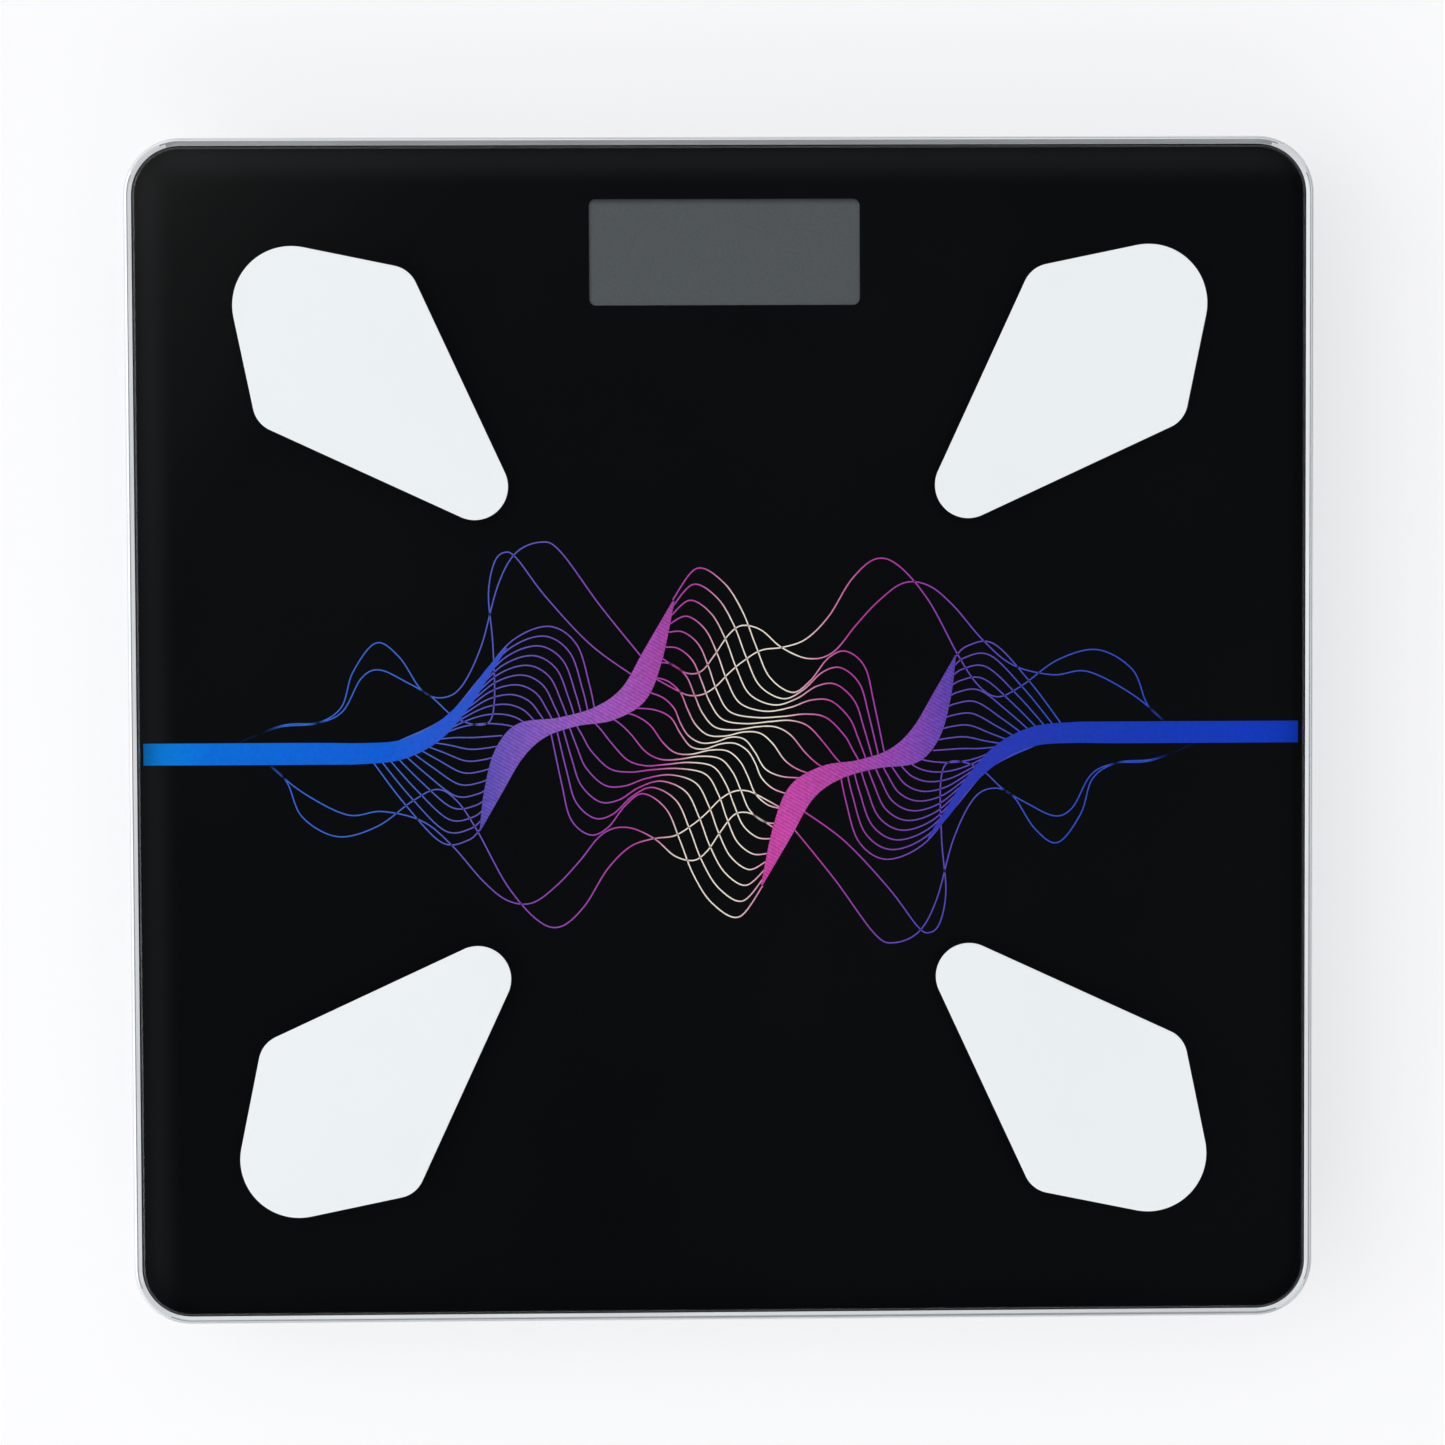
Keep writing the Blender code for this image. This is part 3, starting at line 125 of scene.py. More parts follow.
@dataclass(frozen=True)
class Finish:
    """One real material and how its surface was made.

    Attributes:
        name: material name.
        colour: main sRGB hex colour.
        tint: sRGB hex colour that the main one drifts towards.
        roughness: middle roughness.
        swing: how far roughness wanders either way.
        metallic: metallic value.
        ior: index of refraction; metals keep the default.
        texture: relief of the surface.
        grain: spacing of the relief in millimetres.
        depth: height of the relief in millimetres.
        drift: size in millimetres of the slow colour drift.
        coat: clear coat weight.
        coat_roughness: roughness of the clear coat.
        specular: specular level; low where a surface is bonded to the glass in front of it.
    """

    name: str
    colour: str
    tint: str
    roughness: float
    swing: float = 0.04
    metallic: float = 0.0
    ior: float = 1.5
    texture: Texture = Texture.SPARKED
    grain: float = 0.5
    depth: float = 0.01
    drift: float = 18.0
    coat: float = 0.0
    coat_roughness: float = 0.03
    specular: float = 0.5

    def material(self) -> bpy.types.Material:
        """Return this finish's material, made on first use."""
        found = bpy.data.materials.get(self.name)
        return found or self.build()

    def build(self) -> bpy.types.Material:
        """Build the node material: drifting colour, wandering roughness and fine relief.

        Returns:
            The new material.
        """
        mat = bpy.data.materials.new(self.name)
        mat.use_nodes = True
        tree = mat.node_tree
        shader = tree.nodes["Principled BSDF"]
        place = add_node(tree, "TexCoord").outputs["Object"]
        slow = add_node(tree, "TexNoise", inputs={
            "Vector": place, "Scale": 1 / (self.drift * MM), "Detail": 3.0, "Roughness": 0.55,
        }).outputs["Fac"]
        tree.links.new(self.shade(tree, place, slow), shader.inputs["Base Color"])
        shader.inputs["Roughness"].default_value = self.roughness
        if self.swing:
            rough = add_node(tree, "MapRange", inputs={
                "Value": slow, "From Min": 0.3, "From Max": 0.7,
                "To Min": self.roughness - self.swing, "To Max": self.roughness + self.swing,
            }).outputs["Result"]
            tree.links.new(rough, shader.inputs["Roughness"])
        bump = add_node(tree, "Bump", inputs={
            "Height": self.relief(tree, place), "Distance": self.depth * MM, "Strength": 1.0,
        }).outputs["Normal"]
        tree.links.new(bump, shader.inputs["Normal"])
        shader.inputs["Metallic"].default_value = self.metallic
        shader.inputs["IOR"].default_value = self.ior
        shader.inputs["Coat Weight"].default_value = self.coat
        shader.inputs["Coat Roughness"].default_value = self.coat_roughness
        shader.inputs["Specular IOR Level"].default_value = self.specular
        return mat

    def shade(
        self, tree: bpy.types.NodeTree, place: bpy.types.NodeSocket, slow: bpy.types.NodeSocket
    ) -> bpy.types.NodeSocket:
        """Colour of the surface.

        Args:
            tree: the material's nodes.
            place: object coordinates; not used here.
            slow: slow noise over the surface.

        Returns:
            The socket that carries the colour.
        """
        stops = ((0.25, linear(self.colour)), (0.75, linear(self.tint)))
        return add_node(tree, "ValToRGB", inputs={"Fac": slow}, stops=stops).outputs["Color"]

    def relief(
        self, tree: bpy.types.NodeTree, place: bpy.types.NodeSocket
    ) -> bpy.types.NodeSocket:
        """Height pattern of the surface.

        Args:
            tree: the material's nodes.
            place: object coordinates.

        Returns:
            The socket that carries the height, from zero to one.
        """
        scale = 1 / (self.grain * MM)
        if self.texture is Texture.CELLULAR:
            return add_node(tree, "TexVoronoi", inputs={
                "Vector": place, "Scale": scale,
            }).outputs["Distance"]
        if self.texture is Texture.BRUSHED:
            place = add_node(tree, "Mapping", inputs={
                "Vector": place, "Scale": (0.04, 1.0, 1.0),
            }).outputs["Vector"]
        detail = 1.0 if self.texture is Texture.POLISHED else 4.0
        return add_node(tree, "TexNoise", inputs={
            "Vector": place, "Scale": scale, "Detail": detail,
        }).outputs["Fac"]


# ABS with silver pigment moulded in: pale, satin, with only a hint of metal.
SILVER_ABS = Finish(
    "silver_pigmented_moulded_abs", "D6D9DC", "CED2D6", 0.42, metallic=0.3, grain=0.35,
    depth=0.004, drift=30.0,
)
# Silver lacquer sprayed on the rim: a thin bright line that picks up the lights of the room.
SILVER_LACQUER = Finish(
    "silver_sprayed_lacquer", "DDE0E3", "D3D7DB", 0.2, metallic=0.72, grain=0.35,
    depth=0.001, drift=30.0,
)
# Natural grey ABS from a sparked mould: dull, slightly mottled.
GREY_ABS = Finish("grey_sparked_abs", "8B8F94", "7E8287", 0.5, grain=0.4, depth=0.012)
# Dark grey ABS, moulded: a quiet satin that sets the small moving pieces off the shell.
DARK_ABS = Finish("dark_grey_moulded_abs", "3A3D41", "33363A", 0.42, grain=0.3, depth=0.008)
# Black ABS, moulded: swallows light round the display.
BLACK_ABS = Finish("black_moulded_abs", "17181A", "1D1E21", 0.45, grain=0.3, depth=0.008)
# Compression-moulded thermoplastic rubber: soft, dry, slightly dusty.
GREY_RUBBER = Finish(
    "grey_moulded_rubber", "4B4D50", "5A5C5F", 0.82, ior=1.52, grain=0.7, depth=0.03, drift=6.0,
)
# Conductive white enamel, screen printed and fired: flat, even, faintly satin.
WHITE_ENAMEL = Finish(
    "white_fired_conductive_enamel", "E7EBEE", "E2E7EA", 0.3, swing=0.03,
    texture=Texture.POLISHED, grain=1.2, depth=0.0006, drift=60.0,
)
# White foam tape, cut from a roll: chalky, with tiny open cells.
WHITE_FOAM = Finish(
    "white_foam_tape", "E6E5DF", "D9D8D0", 0.9, texture=Texture.CELLULAR, grain=0.3, depth=0.05,
)
# Spring steel drawn and nickel plated: warm bright glints along the wire.
NICKEL = Finish(
    "nickel_plated_spring_steel", "C9C7C0", "B9B6AE", 0.26, metallic=1.0,
    texture=Texture.BRUSHED, grain=0.12, depth=0.002, drift=5.0,
)
# Screw steel, cold headed and zinc plated: cool grey with a soft shine.
ZINC = Finish(
    "zinc_plated_steel", "B7B9BC", "A8ABB0", 0.34, metallic=1.0, texture=Texture.BRUSHED,
    grain=0.15, depth=0.003, drift=3.0,
)
# Cold-rolled bare steel: grey, with fine rolling lines that stretch the highlights.
CELL_STEEL = Finish(
    "rolled_cell_steel", "AEB0B2", "A2A4A6", 0.38, metallic=1.0, texture=Texture.BRUSHED,
    grain=0.2, depth=0.004, drift=12.0,
)
# Tinned can, deep drawn: smooth, with a clear bright highlight.
TIN_CAN = Finish(
    "drawn_tin_can", "D0D2D2", "C0C2C3", 0.22, metallic=1.0, texture=Texture.POLISHED,
    grain=0.6, depth=0.001, drift=4.0,
)
# Silicone poured over the gauges and cured: milky, softly lumpy.
SILICONE = Finish("white_potting_silicone", "ECEBE6", "E2E1DB", 0.55, grain=0.9, depth=0.05)
# Acrylic cast with a white filler: even and milky, it hides what lies behind.
ACRYLIC = Finish(
    "milky_cast_acrylic", "E9EEF1", "E2E8EC", 0.35, ior=1.49, texture=Texture.POLISHED,
    grain=1.5, depth=0.001,
)
# Epoxy moulded over the chips: dull black with a dusty grain.
EPOXY = Finish("black_moulded_epoxy", "1B1C1E", "232427", 0.55, grain=0.25, depth=0.01)
# PVC extruded over the leads' copper: plain colours with a soft waxy shine.
RED_PVC = Finish("red_extruded_pvc", "B5201E", "A31A1A", 0.4, grain=0.4, depth=0.004)
BLACK_PVC = Finish("black_extruded_pvc", "161617", "1E1E20", 0.4, grain=0.4, depth=0.004)
WHITE_PVC = Finish("white_extruded_pvc", "E4E4E1", "D9D9D5", 0.42, grain=0.4, depth=0.004)
GREEN_PVC = Finish("green_extruded_pvc", "2F8A4A", "287A40", 0.42, grain=0.4, depth=0.004)


@dataclass(frozen=True)
class StripedFinish(Finish):
    """Finish with straight stripes across one axis.

    Attributes:
        stripe: sRGB hex colour of the stripes.
        pitch: spacing of the stripes in millimetres.
        share: share of the pitch that a stripe takes.
        axis: axis that the stripes follow one another along.
    """

    stripe: str = "FFFFFF"
    pitch: float = 1.0
    share: float = 0.5
    axis: str = "X"

    def shade(
        self, tree: bpy.types.NodeTree, place: bpy.types.NodeSocket, slow: bpy.types.NodeSocket
    ) -> bpy.types.NodeSocket:
        """Cross the main colour with stripes.

        Args:
            tree: the material's nodes.
            place: object coordinates.
            slow: slow noise over the surface.

        Returns:
            The socket that carries the colour.
        """
        base = super().shade(tree, place, slow)
        along = add_node(tree, "SeparateXYZ", inputs={0: place}).outputs[self.axis]
        turns = add_node(tree, "Math", {"operation": "DIVIDE"}, {0: along, 1: self.pitch * MM})
        phase = add_node(tree, "Math", {"operation": "FRACT"}, {0: turns.outputs[0]})
        inside = add_node(
            tree, "Math", {"operation": "LESS_THAN"}, {0: phase.outputs[0], 1: self.share}
        )
        mixed = add_node(tree, "Mix", {"data_type": "RGBA"}, {
            "Factor": inside.outputs[0], 6: base, 7: linear(self.stripe),
        })
        return mixed.outputs[2]


# Carbon and silicone layers pressed into one strip: fine pink and black lamellae.
ZEBRA = StripedFinish(
    "laminated_zebra_rubber", "C98A90", "C08088", 0.6, stripe="1A1A1C", pitch=0.5, share=0.4,
)
# Solder-masked glass epoxy: green lacquer over copper tracks that catch a lighter green.
BOARD = StripedFinish(
    "solder_masked_glass_epoxy", "1E5B36", "194E2E", 0.3, ior=1.55, stripe="2B7546", pitch=2.54,
    share=0.22, grain=0.2, depth=0.004, drift=9.0,
)


@dataclass(frozen=True)
class ClearGlass:
    """Clear tempered soda-lime glass: what lies behind shows, and the skin mirrors the room.

    Attributes:
        name: material name.
        tint: sRGB hex colour of the light that passes.
        ior: index of refraction of the skin.
        roughness: roughness of the fire-polished skin.
        ripple: spacing and height in millimetres of the float process's faint ripple.
    """

    name: str = "clear_tempered_glass"
    tint: str = "FAFDFC"
    ior: float = 1.52
    roughness: float = 0.02
    ripple: Point = (30.0, 0.0004)

    def material(self) -> bpy.types.Material:
        """Return the glass material, made on first use."""
        return bpy.data.materials.get(self.name) or self.build()

    def build(self) -> bpy.types.Material:
        """Build a clear skin whose mirror share follows Fresnel on its outer side only.

        Returns:
            The new material.
        """
        mat = bpy.data.materials.new(self.name)
        mat.use_nodes = True
        tree = mat.node_tree
        tree.nodes.remove(tree.nodes["Principled BSDF"])
        place = add_node(tree, "TexCoord").outputs["Object"]
        spacing, height = self.ripple
        ripple = add_node(tree, "TexNoise", inputs={"Vector": place, "Scale": 1 / (spacing * MM)})
        bump = add_node(tree, "Bump", inputs={
            "Height": ripple.outputs["Fac"], "Distance": height * MM, "Strength": 1.0,
        })
        clear = add_node(tree, "BsdfTransparent", inputs={"Color": linear(self.tint)})
        gloss = add_node(tree, "BsdfGlossy", inputs={
            "Color": (1, 1, 1, 1), "Roughness": self.roughness, "Normal": bump.outputs["Normal"],
        })
        mirror = add_node(tree, "Fresnel", inputs={"IOR": self.ior})
        inner = add_node(tree, "NewGeometry").outputs["Backfacing"]
        outer = add_node(tree, "Math", {"operation": "SUBTRACT"}, {0: 1.0, 1: inner})
        share = add_node(tree, "Math", {"operation": "MULTIPLY"}, {
            0: mirror.outputs[0], 1: outer.outputs[0],
        })
        mixed = add_node(tree, "MixShader", inputs={
            0: share.outputs[0], 1: clear.outputs[0], 2: gloss.outputs[0],
        })
        tree.links.new(mixed.outputs[0], tree.nodes["Material Output"].inputs["Surface"])
        return mat


@dataclass(frozen=True)
class PrintedInk(Finish):
    """Screen-printed ink whose colour changes along the platform's width.

    Attributes:
        stops: (x in millimetres, sRGB hex) pairs from left to right.
        lean: how far, in millimetres, the run of colour leans to the right for each one back.
        stripe: depth of the fine slanted stripes, from zero to one.
        stripe_pitch: spacing of the stripes in millimetres, coarser than a real screen's.
        mottle: how strongly a fine grain darkens the ink.
    """

    stops: tuple[tuple[float, str], ...] = ()
    lean: float = 0.0
    stripe: float = 0.0
    stripe_pitch: float = 0.75
    mottle: float = 0.1

    def shade(
        self, tree: bpy.types.NodeTree, place: bpy.types.NodeSocket, slow: bpy.types.NodeSocket
    ) -> bpy.types.NodeSocket:
        """Run the colour with X, under slanted stripes and a printed grain.

        Args:
            tree: the material's nodes.
            place: object coordinates.
            slow: slow noise over the surface; not used.

        Returns:
            The socket that carries the colour.
        """
        first, last = self.stops[0][0], self.stops[-1][0]
        along = add_node(tree, "VectorMath", {"operation": "DOT_PRODUCT"}, {
            0: place, 1: (1.0, -self.lean, 0.0),
        }).outputs["Value"]
        share = add_node(tree, "MapRange", inputs={
            "Value": along, "From Min": first * MM, "From Max": last * MM,
        }).outputs["Result"]
        stops = [((at - first) / (last - first), linear(code)) for at, code in self.stops]
        ink = add_node(tree, "ValToRGB", inputs={"Fac": share}, stops=stops).outputs["Color"]
        grain = add_node(tree, "TexNoise", inputs={
            "Vector": place, "Scale": 1 / (0.9 * MM), "Detail": 2.0,
        }).outputs["Fac"]
        across = add_node(tree, "VectorMath", {"operation": "DOT_PRODUCT"}, {
            0: place, 1: (0.5 / (self.stripe_pitch * MM), 0.87 / (self.stripe_pitch * MM), 0.0),
        }).outputs["Value"]
        wave = add_node(tree, "Math", {"operation": "PINGPONG"}, {0: across, 1: 0.5}).outputs[0]
        for pattern, low, high, depth in (
            (grain, 0.35, 0.65, self.mottle), (wave, 0.0, 0.5, self.stripe),
        ):
            dim = add_node(tree, "MapRange", inputs={
                "Value": pattern, "From Min": low, "From Max": high,
                "To Min": 1.0 - depth, "To Max": 1.0,
            }).outputs["Result"]
            ink = add_node(tree, "Mix", {"data_type": "RGBA", "blend_type": "MULTIPLY"}, {
                "Factor": 1.0, 6: ink, 7: dim,
            }).outputs[2]
        return ink


@dataclass(frozen=True)
class CeramicInk(Finish):
    """Ceramic ink fired on glass; painted light, standing for stray light from the seamed edge,
    lifts its outer millimetres on the left and back.

    Attributes:
        painted_edge_light: sRGB hex colour at the very edge.
        edge: distance in millimetres from the middle to the edge, along X and Y.
        fade: width in millimetres of the border of painted light.
    """

    painted_edge_light: str = "1A1B1D"
    edge: float = 127.8
    fade: float = 9.0

    def shade(
        self, tree: bpy.types.NodeTree, place: bpy.types.NodeSocket, slow: bpy.types.NodeSocket
    ) -> bpy.types.NodeSocket:
        """Paint a little light into the black along the left and back edges.

        Args:
            tree: the material's nodes.
            place: object coordinates.
            slow: slow noise over the surface.

        Returns:
            The socket that carries the colour.
        """
        base = super().shade(tree, place, slow)
        axes = add_node(tree, "SeparateXYZ", inputs={0: place})
        left = add_node(tree, "Math", {"operation": "MULTIPLY"}, {0: axes.outputs["X"], 1: -1.0})
        near = add_node(tree, "Math", {"operation": "SMOOTH_MAX"}, {
            0: left.outputs[0], 1: axes.outputs["Y"], 2: 2 * MM,
        })
        share = add_node(tree, "MapRange", {"interpolation_type": "SMOOTHERSTEP"}, {
            "Value": near.outputs[0], "From Min": (self.edge - self.fade) * MM,
            "From Max": self.edge * MM,
        })
        # painted light: the black is mixed towards a lighter colour near the left and back edges
        return add_node(tree, "Mix", {"data_type": "RGBA"}, {
            "Factor": share.outputs["Result"], 6: base, 7: linear(self.painted_edge_light),
        }).outputs[2]


# Black ceramic ink fired on the back of the glass: deep black with a cool cast, lifted by painted
# light near the left and back edges.
BLACK_CERAMIC = CeramicInk(
    "black_fired_ceramic_ink", "020304", "030405", 0.3, texture=Texture.POLISHED, grain=2.0,
    depth=0.0005, drift=90.0, specular=0.05,
)
# Thin lines of ink: blue at the sides, violet, magenta, and cream in the middle.
LINE_INK = PrintedInk(
    "wave_line_screen_printed_ink", "FFFFFF", "FFFFFF", 0.5, texture=Texture.POLISHED,
    grain=1.0, depth=0.0005, specular=0.05, lean=0.25, stops=(
        (-110.0, "2C60D4"), (-70.0, "3F68D0"), (-56.0, "5A5CC4"), (-40.0, "7C4CBA"),
        (-24.0, "9C48B4"), (-13.0, "C044A8"), (-8.0, "D88CB0"), (-4.0, "F0DCD2"),
        (12.0, "F5E6D8"), (17.0, "DE84B2"), (23.0, "C03CA4"), (38.0, "9A40AC"),
        (50.0, "6C48BA"), (66.0, "3C50C4"), (110.0, "264CC8"),
    ),
)
# Broad twisted ribbons, the same run of colour without the cream, finely striped.
RIBBON_INK = PrintedInk(
    "wave_ribbon_screen_printed_ink", "FFFFFF", "FFFFFF", 0.5, texture=Texture.POLISHED,
    grain=1.0, depth=0.0005, specular=0.05, mottle=0.2, stripe=0.35, stops=(
        (-55.0, "5A4FC0"), (-48.0, "7C5CCB"), (-38.0, "9A62D0"), (-22.0, "B45CC8"),
        (-10.0, "B848B0"), (4.0, "E040A4"), (14.0, "DC50B8"), (26.0, "C44CB4"),
        (40.0, "9C50C4"), (52.0, "5C48BC"),
    ),
)
# The two solid bands that run out to the edges: bright cyan-blue left, deeper blue right.
BAND_INK = PrintedInk(
    "wave_band_screen_printed_ink", "FFFFFF", "FFFFFF", 0.5, texture=Texture.POLISHED,
    grain=1.0, depth=0.0005, specular=0.05, stops=(
        (-128.0, "0088EA"), (-112.0, "006CDC"), (-75.0, "0A5CD8"), (-48.0, "3450C8"),
        (50.0, "3038B4"), (80.0, "1838B4"), (128.0, "0838C0"),
    ),
)


@dataclass(frozen=True)
class LcdFinish(Finish):
    """Unlit liquid-crystal cell under its grey polariser, with painted shade standing for the
    shadow of the window's back and left edges, and a painted highlight along its front edge.

    Attributes:
        window: the window's left, right, front and back edges in millimetres.
        painted_shade_width: reach in millimetres of the shade under the back edge.
    """

    window: tuple[float, float, float, float] = (-28.8, 30.6, 93.6, 116.8)
    painted_shade_width: float = 1.5

    def shade(
        self, tree: bpy.types.NodeTree, place: bpy.types.NodeSocket, slow: bpy.types.NodeSocket
    ) -> bpy.types.NodeSocket:
        """Grain the grey film, paint shade under the back and left edges and paint a highlight
        along the front edge.

        Args:
            tree: the material's nodes.
            place: object coordinates.
            slow: slow noise over the surface.

        Returns:
            The socket that carries the colour.
        """
        colour = super().shade(tree, place, slow)
        left, _, front, back = self.window
        axes = add_node(tree, "SeparateXYZ", inputs={0: place})
        fine = add_node(tree, "TexNoise", inputs={
            "Vector": place, "Scale": 1 / (0.5 * MM), "Detail": 1.0,
        }).outputs["Fac"]
        width = self.painted_shade_width
        # painted shade darkens the film under the back and left edges; a painted highlight lightens
        # it along the front edge
        for value, low, high, start, end in (
            (fine, 0.3, 0.7, 0.94, 1.04),
            (axes.outputs["Y"], (back - width) * MM, back * MM, 1.0, 0.5),
            (axes.outputs["X"], left * MM, (left + width / 2) * MM, 0.72, 1.0),
            (axes.outputs["Y"], front * MM, (front + width / 3) * MM, 1.25, 1.0),
        ):
            gain = add_node(tree, "MapRange", {"interpolation_type": "SMOOTHSTEP"}, {
                "Value": value, "From Min": low, "From Max": high, "To Min": start, "To Max": end,
            }).outputs["Result"]
            colour = add_node(tree, "Mix", {"data_type": "RGBA", "blend_type": "MULTIPLY"}, {
                "Factor": 1.0, 6: colour, 7: gain,
            }).outputs[2]
        return colour


# Stretched polariser film, unlit: a flat mid grey, with painted shade and a painted highlight along
# the window's edges.
POLARISER = LcdFinish(
    "grey_stretched_polariser_film", "5A5A5E", "58585C", 0.3, swing=0.0,
    texture=Texture.POLISHED, grain=0.8, depth=0.0005, drift=90.0, specular=0.2,
)
# Thin float glass over the liquid crystal: grey-green, with sharp highlights at its cut edges.
LCD_GLASS = Finish(
    "lcd_cell_glass", "8D9496", "868D90", 0.12, ior=1.52, texture=Texture.POLISHED, grain=2.0,
    depth=0.0005,
)


@dataclass(frozen=True)
class CellSleeve(Finish):
    """Printed shrink sleeve of a dry cell: a dark body and a coloured band at its head.

    Attributes:
        band: sRGB hex colour of the band.
        joint: place along X, in millimetres, where the band starts.
        towards: +1 if the cell's head points along +X, -1 if it points the other way.
    """

    band: str = "D98A1E"
    joint: float = 0.0
    towards: int = 1

    def shade(
        self, tree: bpy.types.NodeTree, place: bpy.types.NodeSocket, slow: bpy.types.NodeSocket
    ) -> bpy.types.NodeSocket:
        """Put the head's band next to the body colour.

        Args:
            tree: the material's nodes.
            place: object coordinates.
            slow: slow noise over the surface.

        Returns:
            The socket that carries the colour.
        """
        base = super().shade(tree, place, slow)
        x = add_node(tree, "SeparateXYZ", inputs={0: place}).outputs["X"]
        operation = "GREATER_THAN" if self.towards > 0 else "LESS_THAN"
        head = add_node(tree, "Math", {"operation": operation}, {0: x, 1: self.joint * MM})
        return add_node(tree, "Mix", {"data_type": "RGBA"}, {
            "Factor": head.outputs[0], 6: base, 7: linear(self.band),
        }).outputs[2]


# ------------------------------------------------------------------ mesh helpers
def rounded_plate(half_x: float, half_y: float, radius: float, steps: int) -> bmesh.types.BMesh:
    """Flat rectangle with rounded corners, in the plane Z = 0, facing up.

    Args:
        half_x: half its width.
        half_y: half its depth.
        radius: corner radius.
        steps: segments in each corner.

    Returns:
        A bmesh with one face.
    """
    bm = bmesh.new()
    bmesh.ops.create_grid(bm, x_segments=1, y_segments=1, size=1.0)
    bmesh.ops.scale(bm, verts=bm.verts, vec=(half_x, half_y, 1.0))
    bmesh.ops.bevel(
        bm, geom=list(bm.verts), offset=radius, offset_type="OFFSET", affect="VERTICES",
        segments=steps, profile=0.5, material=-1,
    )
    return bm


def thicken(bm: bmesh.types.BMesh, bottom: float, top: float) -> bmesh.types.BMesh:
    """Pull the flat faces of a bmesh into a solid between two heights.

    Args:
        bm: bmesh whose faces lie at Z = 0.
        bottom: height of the underside.
        top: height of the top.

    Returns:
        The same bmesh, closed.
    """
    bmesh.ops.translate(bm, verts=bm.verts, vec=(0, 0, bottom))
    pulled = bmesh.ops.extrude_face_region(bm, geom=list(bm.faces))
    moved = [g for g in pulled["geom"] if isinstance(g, bmesh.types.BMVert)]
    bmesh.ops.translate(bm, verts=moved, vec=(0, 0, top - bottom))
    bmesh.ops.recalc_face_normals(bm, faces=bm.faces)
    return bm


def soften(
    bm: bmesh.types.BMesh,
    width: float,
    segments: int = 2,
    where: Callable[[bmesh.types.BMEdge], bool] | None = None,
    angle: float = 40.0,
) -> bmesh.types.BMesh:
    """Round the sharp edges of a solid.

    Args:
        bm: the solid.
        width: bevel width.
        segments: segments in the bevel.
        where: picks among the sharp edges; all of them when left out.
        angle: least angle, in degrees, between the faces at a sharp edge.

    Returns:
        The same bmesh.
    """
    sharp = [
        e for e in bm.edges
        if len(e.link_faces) == 2 and e.calc_face_angle(0.0) > math.radians(angle)
        and (where is None or where(e))
    ]
    bmesh.ops.bevel(
        bm, geom=sharp, offset=width, offset_type="OFFSET", affect="EDGES", segments=segments,
        profile=0.5, material=-1, clamp_overlap=True,
    )
    return bm


def turned(
    profile: Sequence[Point], steps: int, centre: Point = (0.0, 0.0)
) -> bmesh.types.BMesh:
    """Turn a profile of (radius, height) about an upright axis.

    Args:
        profile: points from axis to axis.
        steps: segments round the axis.
        centre: place of the axis.

    Returns:
        The closed solid.
    """
    bm = bmesh.new()
    cx, cy = centre
    verts = [bm.verts.new((cx + r, cy, z)) for r, z in profile]
    edges = [bm.edges.new(pair) for pair in zip(verts, verts[1:])]
    bmesh.ops.spin(
        bm, geom=verts + edges, axis=(0, 0, 1), cent=(cx, cy, 0), angle=math.tau, steps=steps,
        use_merge=True, use_duplicate=False,
    )
    bmesh.ops.remove_doubles(bm, verts=bm.verts, dist=1e-7)
    bmesh.ops.recalc_face_normals(bm, faces=bm.faces)
    return bm


def fillet(corners: Sequence[tuple[float, float, float]], steps: int = 5) -> list[Point]:
    """Round the corners of an open path.

    Args:
        corners: (x, z, radius) points; the ends' radii aren't used.
        steps: segments in each rounded corner.

    Returns:
        Points of the rounded path.
    """
    path = [corners[0][:2]]
    for before, here, after in zip(corners, corners[1:], corners[2:]):
        corner = Vector(here[:2])
        back = (Vector(before[:2]) - corner).normalized()
        ahead = (Vector(after[:2]) - corner).normalized()
        if here[2] <= 0:
            path.append(here[:2])
            continue
        half = back.angle(ahead) / 2
        reach = here[2] / math.tan(half)
        middle = corner + (back + ahead).normalized() * here[2] / math.sin(half)
        start = corner + back * reach - middle
        end = corner + ahead * reach - middle
        turn = start.angle_signed(end)
        for i in range(steps + 1):
            spoke = start.copy()
            spoke.rotate(Matrix.Rotation(-turn * i / steps, 2))
            path.append(tuple(middle + spoke))
    path.append(corners[-1][:2])
    return path


